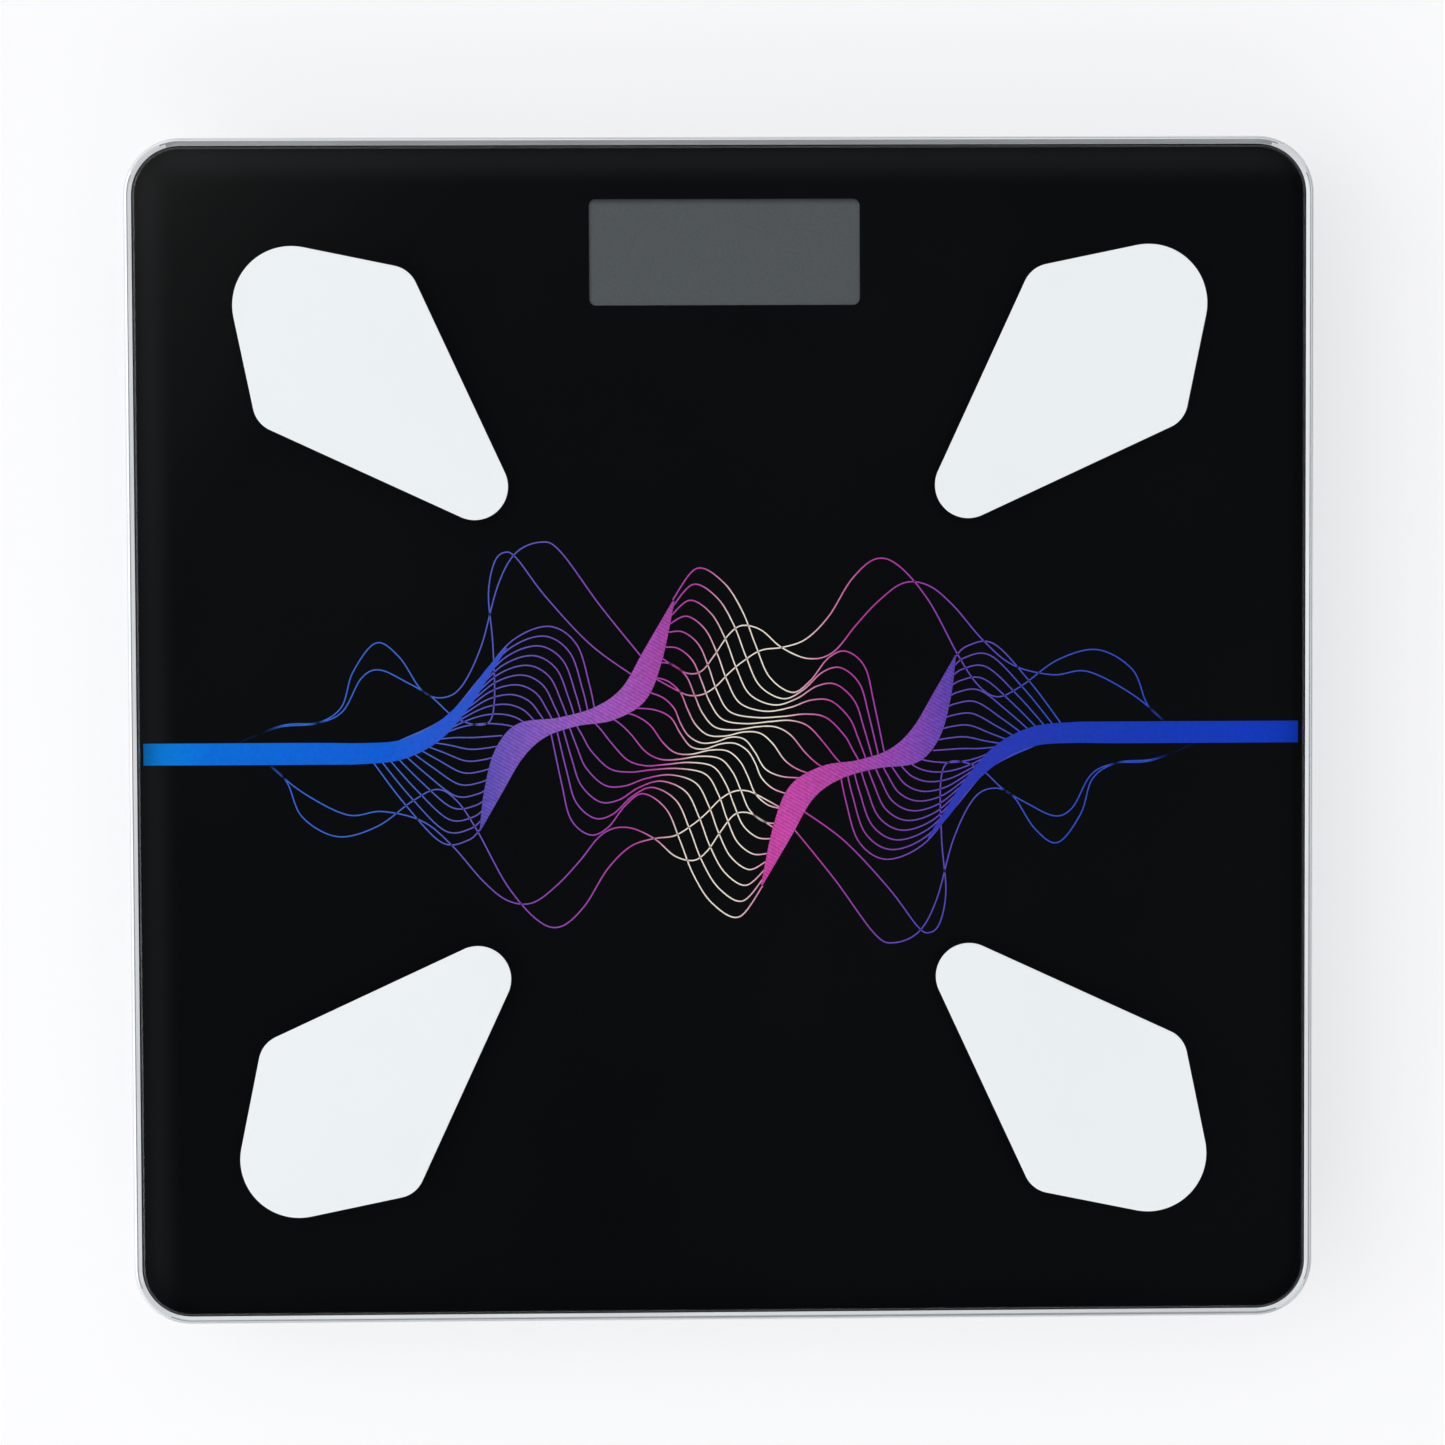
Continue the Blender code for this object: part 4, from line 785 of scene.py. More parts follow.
def swept_square(
    profile: Sequence[Point], half: float, radius: float, steps: int, loop: bool = False
) -> bmesh.types.BMesh:
    """Sweep a profile round a square with rounded corners and cap both ends of the profile.

    One corner is spun, its ends are drawn out to the middle planes, and it is mirrored twice.

    Args:
        profile: (inset, height) points, measured from the square's outer edge.
        half: half the square's width.
        radius: corner radius of the outer edge.
        steps: segments in each corner.
        loop: joins the profile's ends instead of capping them.

    Returns:
        The closed solid.
    """
    bm = bmesh.new()
    centre = half - radius
    verts = [bm.verts.new((half - inset, centre, z)) for inset, z in profile]
    edges = [bm.edges.new(pair) for pair in zip(verts, verts[1:])]
    if loop:
        edges.append(bm.edges.new((verts[-1], verts[0])))
    first = list(edges)
    spun = bmesh.ops.spin(
        bm, geom=verts + edges, axis=(0, 0, 1), cent=(centre, centre, 0), angle=math.pi / 2,
        steps=steps, use_merge=False, use_duplicate=False,
    )
    last = [g for g in spun["geom_last"] if isinstance(g, bmesh.types.BMEdge)]
    for ends, axis in ((first, 1), (last, 0)):
        drawn = bmesh.ops.extrude_edge_only(bm, edges=ends)["geom"]
        for vert in (g for g in drawn if isinstance(g, bmesh.types.BMVert)):
            vert.co[axis] = 0.0
    for axis in "XY":
        bmesh.ops.mirror(
            bm, geom=bm.verts[:] + bm.edges[:] + bm.faces[:], axis=axis, merge_dist=1e-7
        )
    bmesh.ops.remove_doubles(bm, verts=bm.verts, dist=1e-7)
    if not loop:
        rims = [e for e in bm.edges if e.is_boundary]
        bmesh.ops.holes_fill(bm, edges=rims, sides=0)
    bmesh.ops.recalc_face_normals(bm, faces=bm.faces)
    return bm


def box(centre: Sequence[float], size: Sequence[float]) -> bmesh.types.BMesh:
    """Make a block about a centre.

    Args:
        centre: the block's middle.
        size: its width, depth and height.

    Returns:
        The closed solid.
    """
    bm = bmesh.new()
    bmesh.ops.create_cube(bm, size=1.0)
    bmesh.ops.scale(bm, verts=bm.verts, vec=size)
    bmesh.ops.translate(bm, verts=bm.verts, vec=centre)
    return bm


def join(parts: Iterable[bmesh.types.BMesh]) -> bmesh.types.BMesh:
    """Gather several solids, which stay separate bodies, in one bmesh.

    Args:
        parts: the solids; each is freed.

    Returns:
        One bmesh that holds them all.
    """
    whole = bmesh.new()
    for part in parts:
        holder = bpy.data.meshes.new("holder")
        part.to_mesh(holder)
        part.free()
        whole.from_mesh(holder)
        bpy.data.meshes.remove(holder)
    return whole


def new_object(name: str, bm: bmesh.types.BMesh) -> bpy.types.Object:
    """Make a linked mesh object from a bmesh and free the bmesh.

    Args:
        name: object's name.
        bm: its shape.

    Returns:
        The new object.
    """
    mesh = bpy.data.meshes.new(name)
    bm.to_mesh(mesh)
    bm.free()
    obj = bpy.data.objects.new(name, mesh)
    bpy.context.scene.collection.objects.link(obj)
    return obj


def mesh_from_curve(name: str, curve: bpy.types.Curve) -> bpy.types.Object:
    """Turn a drawn curve into a linked mesh object.

    Args:
        name: object's name.
        curve: curve with its bevel.

    Returns:
        The new object.
    """
    drawn = bpy.data.objects.new(f"{name}_curve", curve)
    bpy.context.scene.collection.objects.link(drawn)
    bpy.context.view_layer.update()
    mesh = bpy.data.meshes.new_from_object(
        drawn.evaluated_get(bpy.context.evaluated_depsgraph_get())
    )
    bpy.data.objects.remove(drawn, do_unlink=True)
    obj = bpy.data.objects.new(name, mesh)
    bpy.context.scene.collection.objects.link(obj)
    return obj


def carve(
    obj: bpy.types.Object, tools: Iterable[tuple[bmesh.types.BMesh, str]]
) -> bpy.types.Object:
    """Add solids to an object or cut them from it, and keep only the result.

    Args:
        obj: object that is worked on.
        tools: solids with "UNION" or "DIFFERENCE".

    Returns:
        The same object with its new mesh.
    """
    cutters = []
    for bm, operation in tools:
        cutter = new_object("cutter", bm)
        cutter.hide_render = True
        modifier = obj.modifiers.new("cut", "BOOLEAN")
        modifier.operation = operation
        modifier.solver = "EXACT"
        modifier.object = cutter
        cutters.append(cutter)
    bpy.context.view_layer.update()
    result = bpy.data.meshes.new_from_object(
        obj.evaluated_get(bpy.context.evaluated_depsgraph_get())
    )
    obj.modifiers.clear()
    obj.data = result
    for cutter in cutters:
        bpy.data.objects.remove(cutter, do_unlink=True)
    return obj


def dress(
    obj: bpy.types.Object,
    finishes: Sequence[Finish | ClearGlass],
    body: str,
    stands_for: Sequence[str] = (),
    smooth: float = 35.0,
) -> bpy.types.Object:
    """Give a piece its finish, its shading and its place in the assembly.

    Args:
        obj: the piece.
        finishes: its materials, in slot order.
        body: CAD body that carries it.
        stands_for: CAD nodes that it replaces.
        smooth: angle in degrees below which edges shade smooth.

    Returns:
        The same object.
    """
    slots = [face.material_index for face in obj.data.polygons]
    obj.data.materials.clear()
    for finish in finishes:
        obj.data.materials.append(finish.material())
    obj.data.polygons.foreach_set("material_index", slots)
    obj.data.shade_smooth()
    obj.data.set_sharp_from_angle(angle=math.radians(smooth))
    weighted = obj.modifiers.new("weighted normals", "WEIGHTED_NORMAL")
    weighted.keep_sharp = True
    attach(obj, body)
    if stands_for:
        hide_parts(*stands_for)
    LOG.info("piece %s on %s, %d faces", obj.name, body, len(obj.data.polygons))
    return obj


CORNERS = {
    "toe_left": (-1, 1),
    "toe_right": (1, 1),
    "heel_left": (-1, -1),
    "heel_right": (1, -1),
}


def middle(node: str) -> Vector:
    """Centre of a CAD node's box."""
    low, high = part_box(node)
    return (low + high) / 2


# ------------------------------------------------------------------ printed artwork
@dataclass
class WaveArtwork:
    """Generic flowing-line decoration, printed in colour just above the black ceramic ink.

    The left half is laid out about the middle of the design, in millimetres, and the right half
    is the same half turned through half a turn.
    """

    centre: Point = (-1.0, -2.6)
    reach: float = 127.3
    line_width: float = 0.27
    ink: float = 0.03                   # film's thickness
    lift: float = 0.01                  # above the black ink, so that the films don't meet
    hump_strands: int = 11
    sweep_strands: int = 9
    fan_strands: int = 10
    samples: int = 9

    # hump strands: from the band over the hump and down behind the near ribbon
    hump_high: tuple[Point, ...] = (
        (-70, 0.9), (-60, 5.9), (-52, 14.9), (-45, 22.9), (-37, 25.9), (-31, 21.9), (-28.2,
        12.9), (-27, 6.9),
    )
    hump_low: tuple[Point, ...] = (
        (-66, -0.1), (-61, 2.1), (-56.5, 3.8), (-52.5, 4.5), (-49, 4.5), (-46, 4.1), (-43.5,
        3.3), (-41.5, 1.9),
    )
    # sweep strands: from the near ribbon through the middle to the far hump
    sweep_high: tuple[Point, ...] = (
        (-9.8, 31.6), (-4.5, 38.5), (1.4, 35.4), (5.5, 29.1), (8.4, 21.6), (11.4, 14.6), (16.4,
        11.1), (20.4, 13.6), (24.4, 18.6), (28.4, 20.1), (32.5, 16.6), (34.5, 8.6), (37.2, -4.6),
    )
    sweep_mid: tuple[Point, ...] = (
        (-10.7, 24.5), (-7.5, 24.5), (-4.1, 21.7), (-1.9, 16.6), (-0.1, 11.4), (2.7, 6.9), (8.4,
        5.6), (14.4, 5.8), (19.4, 6.3), (23.9, 5.5), (27.9, 1.6), (29.9, -1.9), (31.9, -5.4),
    )
    sweep_low: tuple[Point, ...] = (
        (-15.2, 11.3), (-12.1, 10.1), (-9.6, 7.7), (-8.2, 4.4), (-6.5, 1.7), (-3.8, 0.1), (-0.6,
        0.2), (3, 1.3), (6, 0.7), (8.2, -2.1), (10.4, -5.7), (13.9, -7.4), (18.4, -7.8),
    )
    # fan strands: from the band's underside to the near ribbon
    fan_high: tuple[Point, ...] = (
        (-62, 1.1), (-58, 1.5), (-54, 1.5), (-50.5, 1.7), (-47.5, 1.9),
    )
    fan_low: tuple[Point, ...] = (
        (-76, -3.7), (-69, -13.1), (-61, -21.6), (-55, -21.1), (-52, -18.1),
    )
    # twisted ribbon, edge to edge
    ribbon_outer: tuple[Point, ...] = (
        (-52.6, -19.1), (-51.5, -10.1), (-49, -1.1), (-44, 4.5), (-35, 5.8), (-27, 8.1), (-21,
        12.4), (-16, 20.9), (-9.8, 31.4),
    )
    ribbon_inner: tuple[Point, ...] = (
        (-52.4, -19.1), (-47.5, -10.6), (-43, -3.1), (-38, 1.5), (-31, 3.9), (-23, 5.2), (-16,
        9.4), (-12.3, 17.9), (-9.4, 31.4),
    )
    # solid band that tapers along the hump strands
    band_upper: tuple[Point, ...] = (
        (-90, 0.5), (-78, 0.4), (-70, 1), (-63, 3.9), (-56, 9.9), (-51, 16.4), (-46.5, 21.4),
    )
    band_lower: tuple[Point, ...] = (
        (-90, -4.3), (-78, -4.2), (-69, -3.1), (-61, 1.1), (-54.5, 8.4), (-50, 15.4), (-46.3,
        21.1),
    )
    # loose single lines
    loose: tuple[tuple[Point, ...], ...] = (
        (
            (-107, -0.1), (-97, 3.9), (-88.3, 4.8), (-82.8, 8.3), (-80.2, 16), (-75.1, 22.4),
            (-70, 19.3), (-65.2, 12.1), (-60.8, 10.3), (-56.4, 12.7), (-52, 21.5), (-48.3,
            34.7), (-44.4, 41.9), (-38.9, 44.4), (-34.5, 42.4), (-25.7, 30.3), (-16.9, 19.3),
        ),
        (
            (-107, -0.1), (-96, 4.3), (-88, 4.9), (-82.5, 7.4), (-78.4, 14.6), (-74.4, 16.5),
            (-68.5, 13.8), (-63, 10.5), (-57.5, 5.7), (-51.2, 4.4), (-49.2, 8.9), (-49.4, 21.9),
            (-50.3, 32.9), (-49, 39.9), (-46.7, 42.2), (-44, 40.8), (-37.8, 32.5), (-28, 21.9),
            (-18.5, 14.9),
        ),
        (
            (-99, -4.1), (-94.9, -8.1), (-91.6, -15.8), (-83.9, -20.2), (-75.1, -18), (-67.4,
            -12.5), (-61.9, -9.9), (-57.5, -12.5), (-53.1, -19.1), (-46.6, -31.2), (-40, -38.9),
            (-34.9, -40.4), (-29.6, -35.9), (-24.6, -27.9), (-19.6, -22.9), (-14.6, -21.1),
            (-9.6, -20.4), (-5.5, -17.9), (-2.5, -15.4), (0.5, -12.4), (3.5, -10.7), (6.5,
            -10.6), (9.4, -11.9), (14.4, -14.7),
        ),
        (
            (-99, -4.1), (-91.6, -10.3), (-81.7, -15.4), (-74, -14.7), (-65.2, -16.9), (-58.6,
            -22.4), (-52, -30.1), (-46.6, -34.5), (-41.1, -35.1), (-35.6, -31.2), (-30.6,
            -25.9), (-26.6, -20.9), (-23.6, -18.9), (-20.6, -18.5), (-17.6, -19.2), (-13.6,
            -21.4), (-9.6, -24.9), (-5.5, -25.9), (-2.5, -23.9), (0.5, -19.6), (3.5, -15.9),
            (6.5, -15.4), (9.4, -16.9), (13.9, -19.9),
        ),
    )

    def smooth(self, points: Sequence[Point]) -> list[Vector]:
        """Catmull-Rom curve through the points, turned to metres about the art's centre.

        Args:
            points: points in millimetres.

        Returns:
            Evenly many samples between each two points.
        """
        count = len(points)
        curve = []
        for i in range(count - 1):
            p0, p1, p2, p3 = (Vector(points[min(max(i + k, 0), count - 1)]) for k in (-1, 0, 1, 2))
            for step in range(self.samples):
                t = step / self.samples
                curve.append(0.5 * (
                    2 * p1 + (p2 - p0) * t + (2 * p0 - 5 * p1 + 4 * p2 - p3) * t ** 2
                    + (3 * p1 - p0 - 3 * p2 + p3) * t ** 3
                ))
        curve.append(Vector(points[-1]))
        return curve

    def blend(
        self, first: Sequence[Point], last: Sequence[Point], count: int
    ) -> list[list[Vector]]:
        """Evenly spread curves from one boundary to the other.

        Args:
            first: points of the first curve, in millimetres.
            last: points of the last curve, as many.
            count: number of curves, both boundaries included.

        Returns:
            The smooth curves, in order.
        """
        paths = []
        for i in range(count):
            share = i / (count - 1)
            paths.append(self.smooth([
                Vector(a).lerp(Vector(b), share) for a, b in zip(first, last)
            ]))
        return paths

    def placed(self, paths: Iterable[Sequence[Vector]], z: float) -> list[list[Vector]]:
        """Both halves of the design in metres: each path, and the same path half a turn round.

        Args:
            paths: curves of the left half, in millimetres about the design's middle.
            z: height to lay them at.

        Returns:
            Each curve followed by its turned twin.
        """
        cx, cy = self.centre
        both = []
        for path in paths:
            for sign in (1, -1):
                both.append([
                    Vector((self.clamp(cx + sign * p.x) * MM, (cy + sign * p.y) * MM, z))
                    for p in path
                ])
        return both

    def clamp(self, x: float) -> float:
        """Keep a place inside the printed area."""
        return max(-self.reach, min(self.reach, x))

    def lines(self, z: float) -> bpy.types.Object:
        """All thin strands as flat ribbons of ink.

        Args:
            z: height of the ink's middle.

        Returns:
            One mesh object.
        """
        half = self.sweep_strands // 2 + 1
        paths = self.blend(self.hump_high, self.hump_low, self.hump_strands)
        paths += self.blend(self.sweep_high, self.sweep_mid, half)
        paths += self.blend(self.sweep_mid, self.sweep_low, half)[1:]
        paths += self.blend(self.fan_high, self.fan_low, self.fan_strands)
        paths += [self.smooth(points) for points in self.loose]
        section = bpy.data.curves.new("ink_section", "CURVE")
        outline = section.splines.new("POLY")
        outline.points.add(3)
        half_w, half_t = self.line_width * MM / 2, self.ink * MM / 2
        for point, (sx, sy) in zip(outline.points, ((-1, -1), (1, -1), (1, 1), (-1, 1))):
            point.co = (sx * half_w, sy * half_t, 0, 1)
        outline.use_cyclic_u = True
        section_obj = bpy.data.objects.new("ink_section", section)
        bpy.context.scene.collection.objects.link(section_obj)
        curve = bpy.data.curves.new("wave_lines", "CURVE")
        curve.dimensions = "3D"
        curve.twist_mode = "Z_UP"
        curve.bevel_mode = "OBJECT"
        curve.bevel_object = section_obj
        curve.use_fill_caps = True
        for path in self.placed(paths, z):
            spline = curve.splines.new("POLY")
            spline.points.add(len(path) - 1)
            for point, place in zip(spline.points, path):
                point.co = (*place, 1.0)
        obj = mesh_from_curve("wave_lines", curve)
        bpy.data.objects.remove(section_obj, do_unlink=True)
        return obj

    def strips(
        self, name: str, pairs: Iterable[tuple[Sequence[Point], Sequence[Point]]], z: float
    ) -> bpy.types.Object:
        """Broad areas of ink between two edges.

        Args:
            name: piece's name.
            pairs: the two edges of each area, in millimetres.
            z: height of the ink's underside.

        Returns:
            One mesh object.
        """
        bm = bmesh.new()
        for upper, lower in pairs:
            edges = self.placed([self.smooth(upper), self.smooth(lower)], z)
            for side in (0, 1):
                self.fill_between(bm, edges[side], edges[side + 2])
        skin = list(bm.faces)
        pulled = bmesh.ops.extrude_face_region(bm, geom=skin)
        moved = [g for g in pulled["geom"] if isinstance(g, bmesh.types.BMVert)]
        bmesh.ops.translate(bm, verts=moved, vec=(0, 0, self.ink * MM))
        bmesh.ops.recalc_face_normals(bm, faces=bm.faces)
        return new_object(name, bm)

    @staticmethod
    def fill_between(
        bm: bmesh.types.BMesh, first: Sequence[Vector], second: Sequence[Vector]
    ) -> None:
        """Bridge two open chains of points with faces.

        Args:
            bm: bmesh that takes the faces.
            first: points of one chain.
            second: points of the other, as many.
        """
        edges = []
        for chain in (first, second):
            verts = [bm.verts.new(p) for p in chain]
            edges += [bm.edges.new(pair) for pair in zip(verts, verts[1:])]
        bmesh.ops.bridge_loops(bm, edges=edges)

    def build(self, z: float) -> None:
        """Print the artwork: lines, then bands over them, then ribbons on top.

        Args:
            z: height of the surface that it is printed on.
        """
        level = z + self.lift * MM
        start = -self.reach + self.centre[0]
        upper = ((start, self.band_upper[0][1]), *self.band_upper)
        lower = ((start, self.band_lower[0][1]), *self.band_lower)
        lines = self.lines(level + 0.5 * self.ink * MM)
        dress(lines, [LINE_INK], "base")
        bands = self.strips("wave_bands", [(upper, lower)], level + 2 * self.ink * MM)
        dress(bands, [BAND_INK], "base")
        ribbons = self.strips(
            "wave_ribbons", [(self.ribbon_outer, self.ribbon_inner)], level + 4 * self.ink * MM
        )
        dress(ribbons, [RIBBON_INK], "base")


# ------------------------------------------------------------------ platform
@dataclass
class Platform:
    """Tempered glass and the ink on its back; the four electrodes on its top are made by
    Electrodes.
    """

    corner_radius: float = 10.4 * MM
    chamfer: float = 0.45 * MM
    corner_steps: int = 28
    print_depth: float = 0.06 * MM      # ink's film, drawn thicker than the real 0.02 mm
    print_inset: float = 0.05 * MM      # ink lies just inside the glass's faces
    window: Point = (59.4 * MM, 23.2 * MM)
    window_shift: Point = (0.9 * MM, 0.7 * MM)
    window_radius: float = 1.5 * MM
    display_inset: float = 25.5 * MM    # casing's back to the window's middle

    def build(self) -> None:
        """Make every piece of the platform."""
        low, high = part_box("glass_platform")
        self.build_glass(low, high)
        surface = self.build_print(low, high)
        WaveArtwork().build(surface)

    def build_glass(self, low: Vector, high: Vector) -> None:
        """Clear slab with rounded corners and a seamed edge all round.

        Args:
            low: lowest corner of the CAD glass.
            high: its highest corner.
        """
        bm = rounded_plate(high.x, high.y, self.corner_radius, self.corner_steps)
        thicken(bm, low.z, high.z)
        soften(bm, self.chamfer, 4, where=lambda e: abs(e.verts[0].co.z - e.verts[1].co.z) < 1e-6)
        glass = new_object("clear_glass_sheet", bm)
        dress(glass, [ClearGlass()], "base", ["glass_platform"])

    def build_print(self, low: Vector, high: Vector) -> float:
        """Black ink on the glass's back and edges, with the display window left clear.

        Args:
            low: lowest corner of the CAD glass.
            high: its highest corner.

        Returns:
            Height of the ink's visible face.
        """
        bottom = low.z + self.print_inset
        face = bottom + self.print_depth
        rim = high.z - self.chamfer
        inner = self.print_inset + self.print_depth
        profile = [(inner, face), (inner, rim), (self.print_inset, rim), (self.print_inset, bottom)]
        bm = swept_square(profile, high.x, self.corner_radius, self.corner_steps)
        ink = new_object("black_back_print", bm)
        half_x, half_y = (s / 2 for s in self.window)
        opening = rounded_plate(half_x, half_y, self.window_radius, 8)
        thicken(opening, low.z - self.chamfer, face + self.chamfer)
        shift_x, shift_y = self.window_shift
        display_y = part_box("base_shell")[1].y - self.display_inset
        bmesh.ops.translate(opening, verts=opening.verts, vec=(shift_x, display_y + shift_y, 0))
        carve(ink, [(opening, "DIFFERENCE")])
        dress(ink, [BLACK_CERAMIC], "base")
        return face


@dataclass
class Electrodes:
    """Foot-sole electrodes: four thin plates lying on the glass, one on each diagonal."""

    thickness: float = 0.3 * MM
    edge: float = 0.12 * MM
    steps: int = 96
    stud_from_corner: float = 91.8 * MM
    round_end: tuple[float, float, float] = (40.2 * MM, 0.0, 12.9 * MM)
    shoulder: tuple[float, float, float] = (26.8 * MM, 16.5 * MM, 6.5 * MM)
    tip: tuple[float, float, float] = (-15.7 * MM, 0.0, 7.3 * MM)

    def outline(self) -> list[Vector]:
        """Pull a belt tight round the end, the shoulders and the tip.

        Returns:
            Points of the outline, in order.
        """
        along, across, radius = self.shoulder
        circles = [self.round_end, self.shoulder, (along, -across, radius), self.tip]
        points = []
        for x, y, r in circles:
            for i in range(self.steps):
                angle = math.tau * i / self.steps
                points.append(Vector((x + r * math.cos(angle), y + r * math.sin(angle))))
        return [points[i] for i in convex_hull_2d(points)]

    def build(self) -> None:
        """Make the four plates, each over its CAD electrode."""
        top_of_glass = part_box("glass_platform")[1].z
        half_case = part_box("base_shell")[1].x
        stud = half_case - self.stud_from_corner / math.sqrt(2)
        for corner, (sx, sy) in CORNERS.items():
            end, side = corner.split("_")
            bm = bmesh.new()
            bm.faces.new([bm.verts.new((p.x, p.y, 0)) for p in self.outline()])
            bmesh.ops.recalc_face_normals(bm, faces=bm.faces)
            thicken(bm, top_of_glass, top_of_glass + self.thickness)
            top = top_of_glass + self.thickness
            soften(bm, self.edge, 2, where=lambda e: min(v.co.z for v in e.verts) > top - 1e-6)
            turn = Matrix.Rotation(math.atan2(sy, sx), 4, "Z")
            bmesh.ops.transform(bm, matrix=turn, verts=bm.verts)
            bmesh.ops.translate(bm, verts=bm.verts, vec=(sx * stud, sy * stud, 0))
            node = f"{end}_electrode_{side}"
            plate = new_object(f"{end}_{side}_electrode_plate", bm)
            dress(plate, [WHITE_ENAMEL], "base", [node])


# ------------------------------------------------------------------ casing
@dataclass
class BaseShell:
    """Moulded tray that rims the glass and carries the feet, the bay and the button."""

    corner_radius: float = 12.5 * MM
    corner_steps: int = 28
    rim_wall: float = 1.8 * MM
    crown: Point = (0.8 * MM, 0.26 * MM)     # rim's crest from outside, and its fall inwards
    rim_band: float = 6.6 * MM
    slope_run: float = 10.0 * MM
    wall: float = 2.8 * MM
    ledge: float = 3.2 * MM
    floor: float = 2.0 * MM
    ledge_drop: float = 6.0 * MM        # rim top down to the shelf under the glass
    mouth_clearance: float = 0.5 * MM
    lead_in: float = 0.5 * MM
    button_mouth: float = 4.4 * MM      # radius
    underside_round: float = 2.0 * MM
    waist_round: float = 5.0 * MM
    shoulder_round: float = 0.9 * MM
    crown_round: float = 1.2 * MM
    lip_round: float = 0.12 * MM
    inside_round: float = 0.8 * MM
    tab_slot: tuple[float, float, float] = (8.2 * MM, 3.4 * MM, 2.4 * MM)
    tab_slot_place: Point = (14 * MM, 2 * MM)   # from the middle, and above the underside
    bay_wall: float = 2.5 * MM
    gap: float = 0.3 * MM
    tool_steps: int = 72

    def section(self, bottom: float, top: float) -> list[Point]:
        """Wall's section as (inset, height) from the underside round to the inner floor.

        Args:
            bottom: height of the underside.
            top: height of the rim.

        Returns:
            Points of the section.
        """
        crest, fall = self.crown
        slope_top = top - self.rim_band
        shelf = top - self.ledge_drop
        inner_floor = bottom + self.floor
        shelf_end = self.rim_wall + self.ledge
        run = self.slope_run / (slope_top - bottom)
        knee = slope_top - (shelf_end - self.wall) / run
        floor_inset = self.slope_run - run * self.floor + self.wall
        return fillet([
            (self.slope_run + 1.5 * MM, bottom, 0),
            (self.slope_run - 0.6 * MM, bottom, self.underside_round),
            (0, slope_top, self.waist_round),
            (0, top - 0.15 * MM, self.shoulder_round),
            (crest, top, self.crown_round),
            (self.rim_wall, top - fall, self.lip_round),
            (self.rim_wall, shelf, 0),
            (shelf_end, shelf, 0),
            (shelf_end, knee, 0),
            (floor_inset, inner_floor, self.inside_round),
            (self.corner_radius - 0.2 * MM, inner_floor, 0),
        ])

    def build(self) -> None:
        """Make the tray, with its pocket mouths, battery bay, slots and button hole."""
        low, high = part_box("base_shell")
        bm = swept_square(
            self.section(low.z, high.z), high.x, self.corner_radius, self.corner_steps
        )
        shell = new_object("silver_base_shell", bm)
        carve(shell, [*self.bay_tools(low.z), *self.mouth_tools(low.z)])
        for face in shell.data.polygons:
            out = max(abs(face.center.x), abs(face.center.y)) > high.x - self.rim_wall
            rim = face.center.z > high.z - self.rim_band
            face.material_index = int(out and rim)
        finishes = [SILVER_ABS, SILVER_LACQUER]
        dress(shell, finishes, "base", ["base_shell"], smooth=30)

    def mouth_tools(self, bottom: float) -> list[tuple[bmesh.types.BMesh, str]]:
        """Cutters for the four foot mouths and the button hole, each with a lead-in.

        Args:
            bottom: height of the underside.

        Returns:
            Solids with "DIFFERENCE".
        """
        tools = []
        holes = [
            (middle(f"foot_cap_{corner}"), self.foot_radius(corner) + self.mouth_clearance)
            for corner in CORNERS
        ]
        button_low, button_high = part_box("unit_button")
        holes.append(((button_low + button_high) / 2, self.button_mouth))
        for centre, radius in holes:
            profile = [
                (0, bottom - 1 * MM), (radius + self.lead_in + 1 * MM, bottom - 1 * MM),
                (radius + self.lead_in, bottom), (radius, bottom + self.lead_in),
                (radius, bottom + self.floor + 1 * MM), (0, bottom + self.floor + 1 * MM),
            ]
            tools.append((turned(profile, self.tool_steps, centre.xy), "DIFFERENCE"))
        return tools

    @staticmethod
    def foot_radius(corner: str) -> float:
        """Radius of a foot's skirt: its box is 1 mm wider all round, for the snap bead."""
        low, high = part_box(f"foot_cap_{corner}")
        return (high.x - low.x) / 2 - 1 * MM

    def bay_tools(self, bottom: float) -> list[tuple[bmesh.types.BMesh, str]]:
        """Bay walls to add, then the bay's room, the door's recess and the tab slots to cut.

        Args:
            bottom: height of the underside.

        Returns:
            Solids with "UNION" or "DIFFERENCE".
        """
        door_low, door_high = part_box("battery_door")
        _, cells_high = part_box("battery_cell_rear")
        front_low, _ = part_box("battery_cell_front")
        contact_low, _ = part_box("contact_bridge")
        centre_y = (front_low.y + cells_high.y) / 2
        room_x = -contact_low.x + self.gap
        room_y = (cells_high.y - front_low.y) / 2 + self.gap
        roof = cells_high.z + self.gap
        recess_x = door_high.x + self.gap
        recess_y = centre_y - door_low.y + self.gap
        outer = (recess_x + self.bay_wall, recess_y + self.bay_wall)
        door_top = door_high.z + self.gap
        slot_x, slot_z = self.tab_slot_place
        slots = [
            box((sx * slot_x, centre_y + recess_y, bottom + slot_z), self.tab_slot)
            for sx in (-1, 1)
        ]

        def block(half: Point, low: float, high: float) -> bmesh.types.BMesh:
            """Make a block about the bay's middle between two heights."""
            return box(
                (0, centre_y, (low + high) / 2), (2 * half[0], 2 * half[1], high - low)
            )

        return [
            (block(outer, bottom + self.floor / 2, roof + 1 * MM), "UNION"),
            (block((room_x, room_y), bottom - 1 * MM, roof), "DIFFERENCE"),
            (block((recess_x, recess_y), bottom - 1 * MM, door_top), "DIFFERENCE"),
            (join(slots), "DIFFERENCE"),
        ]


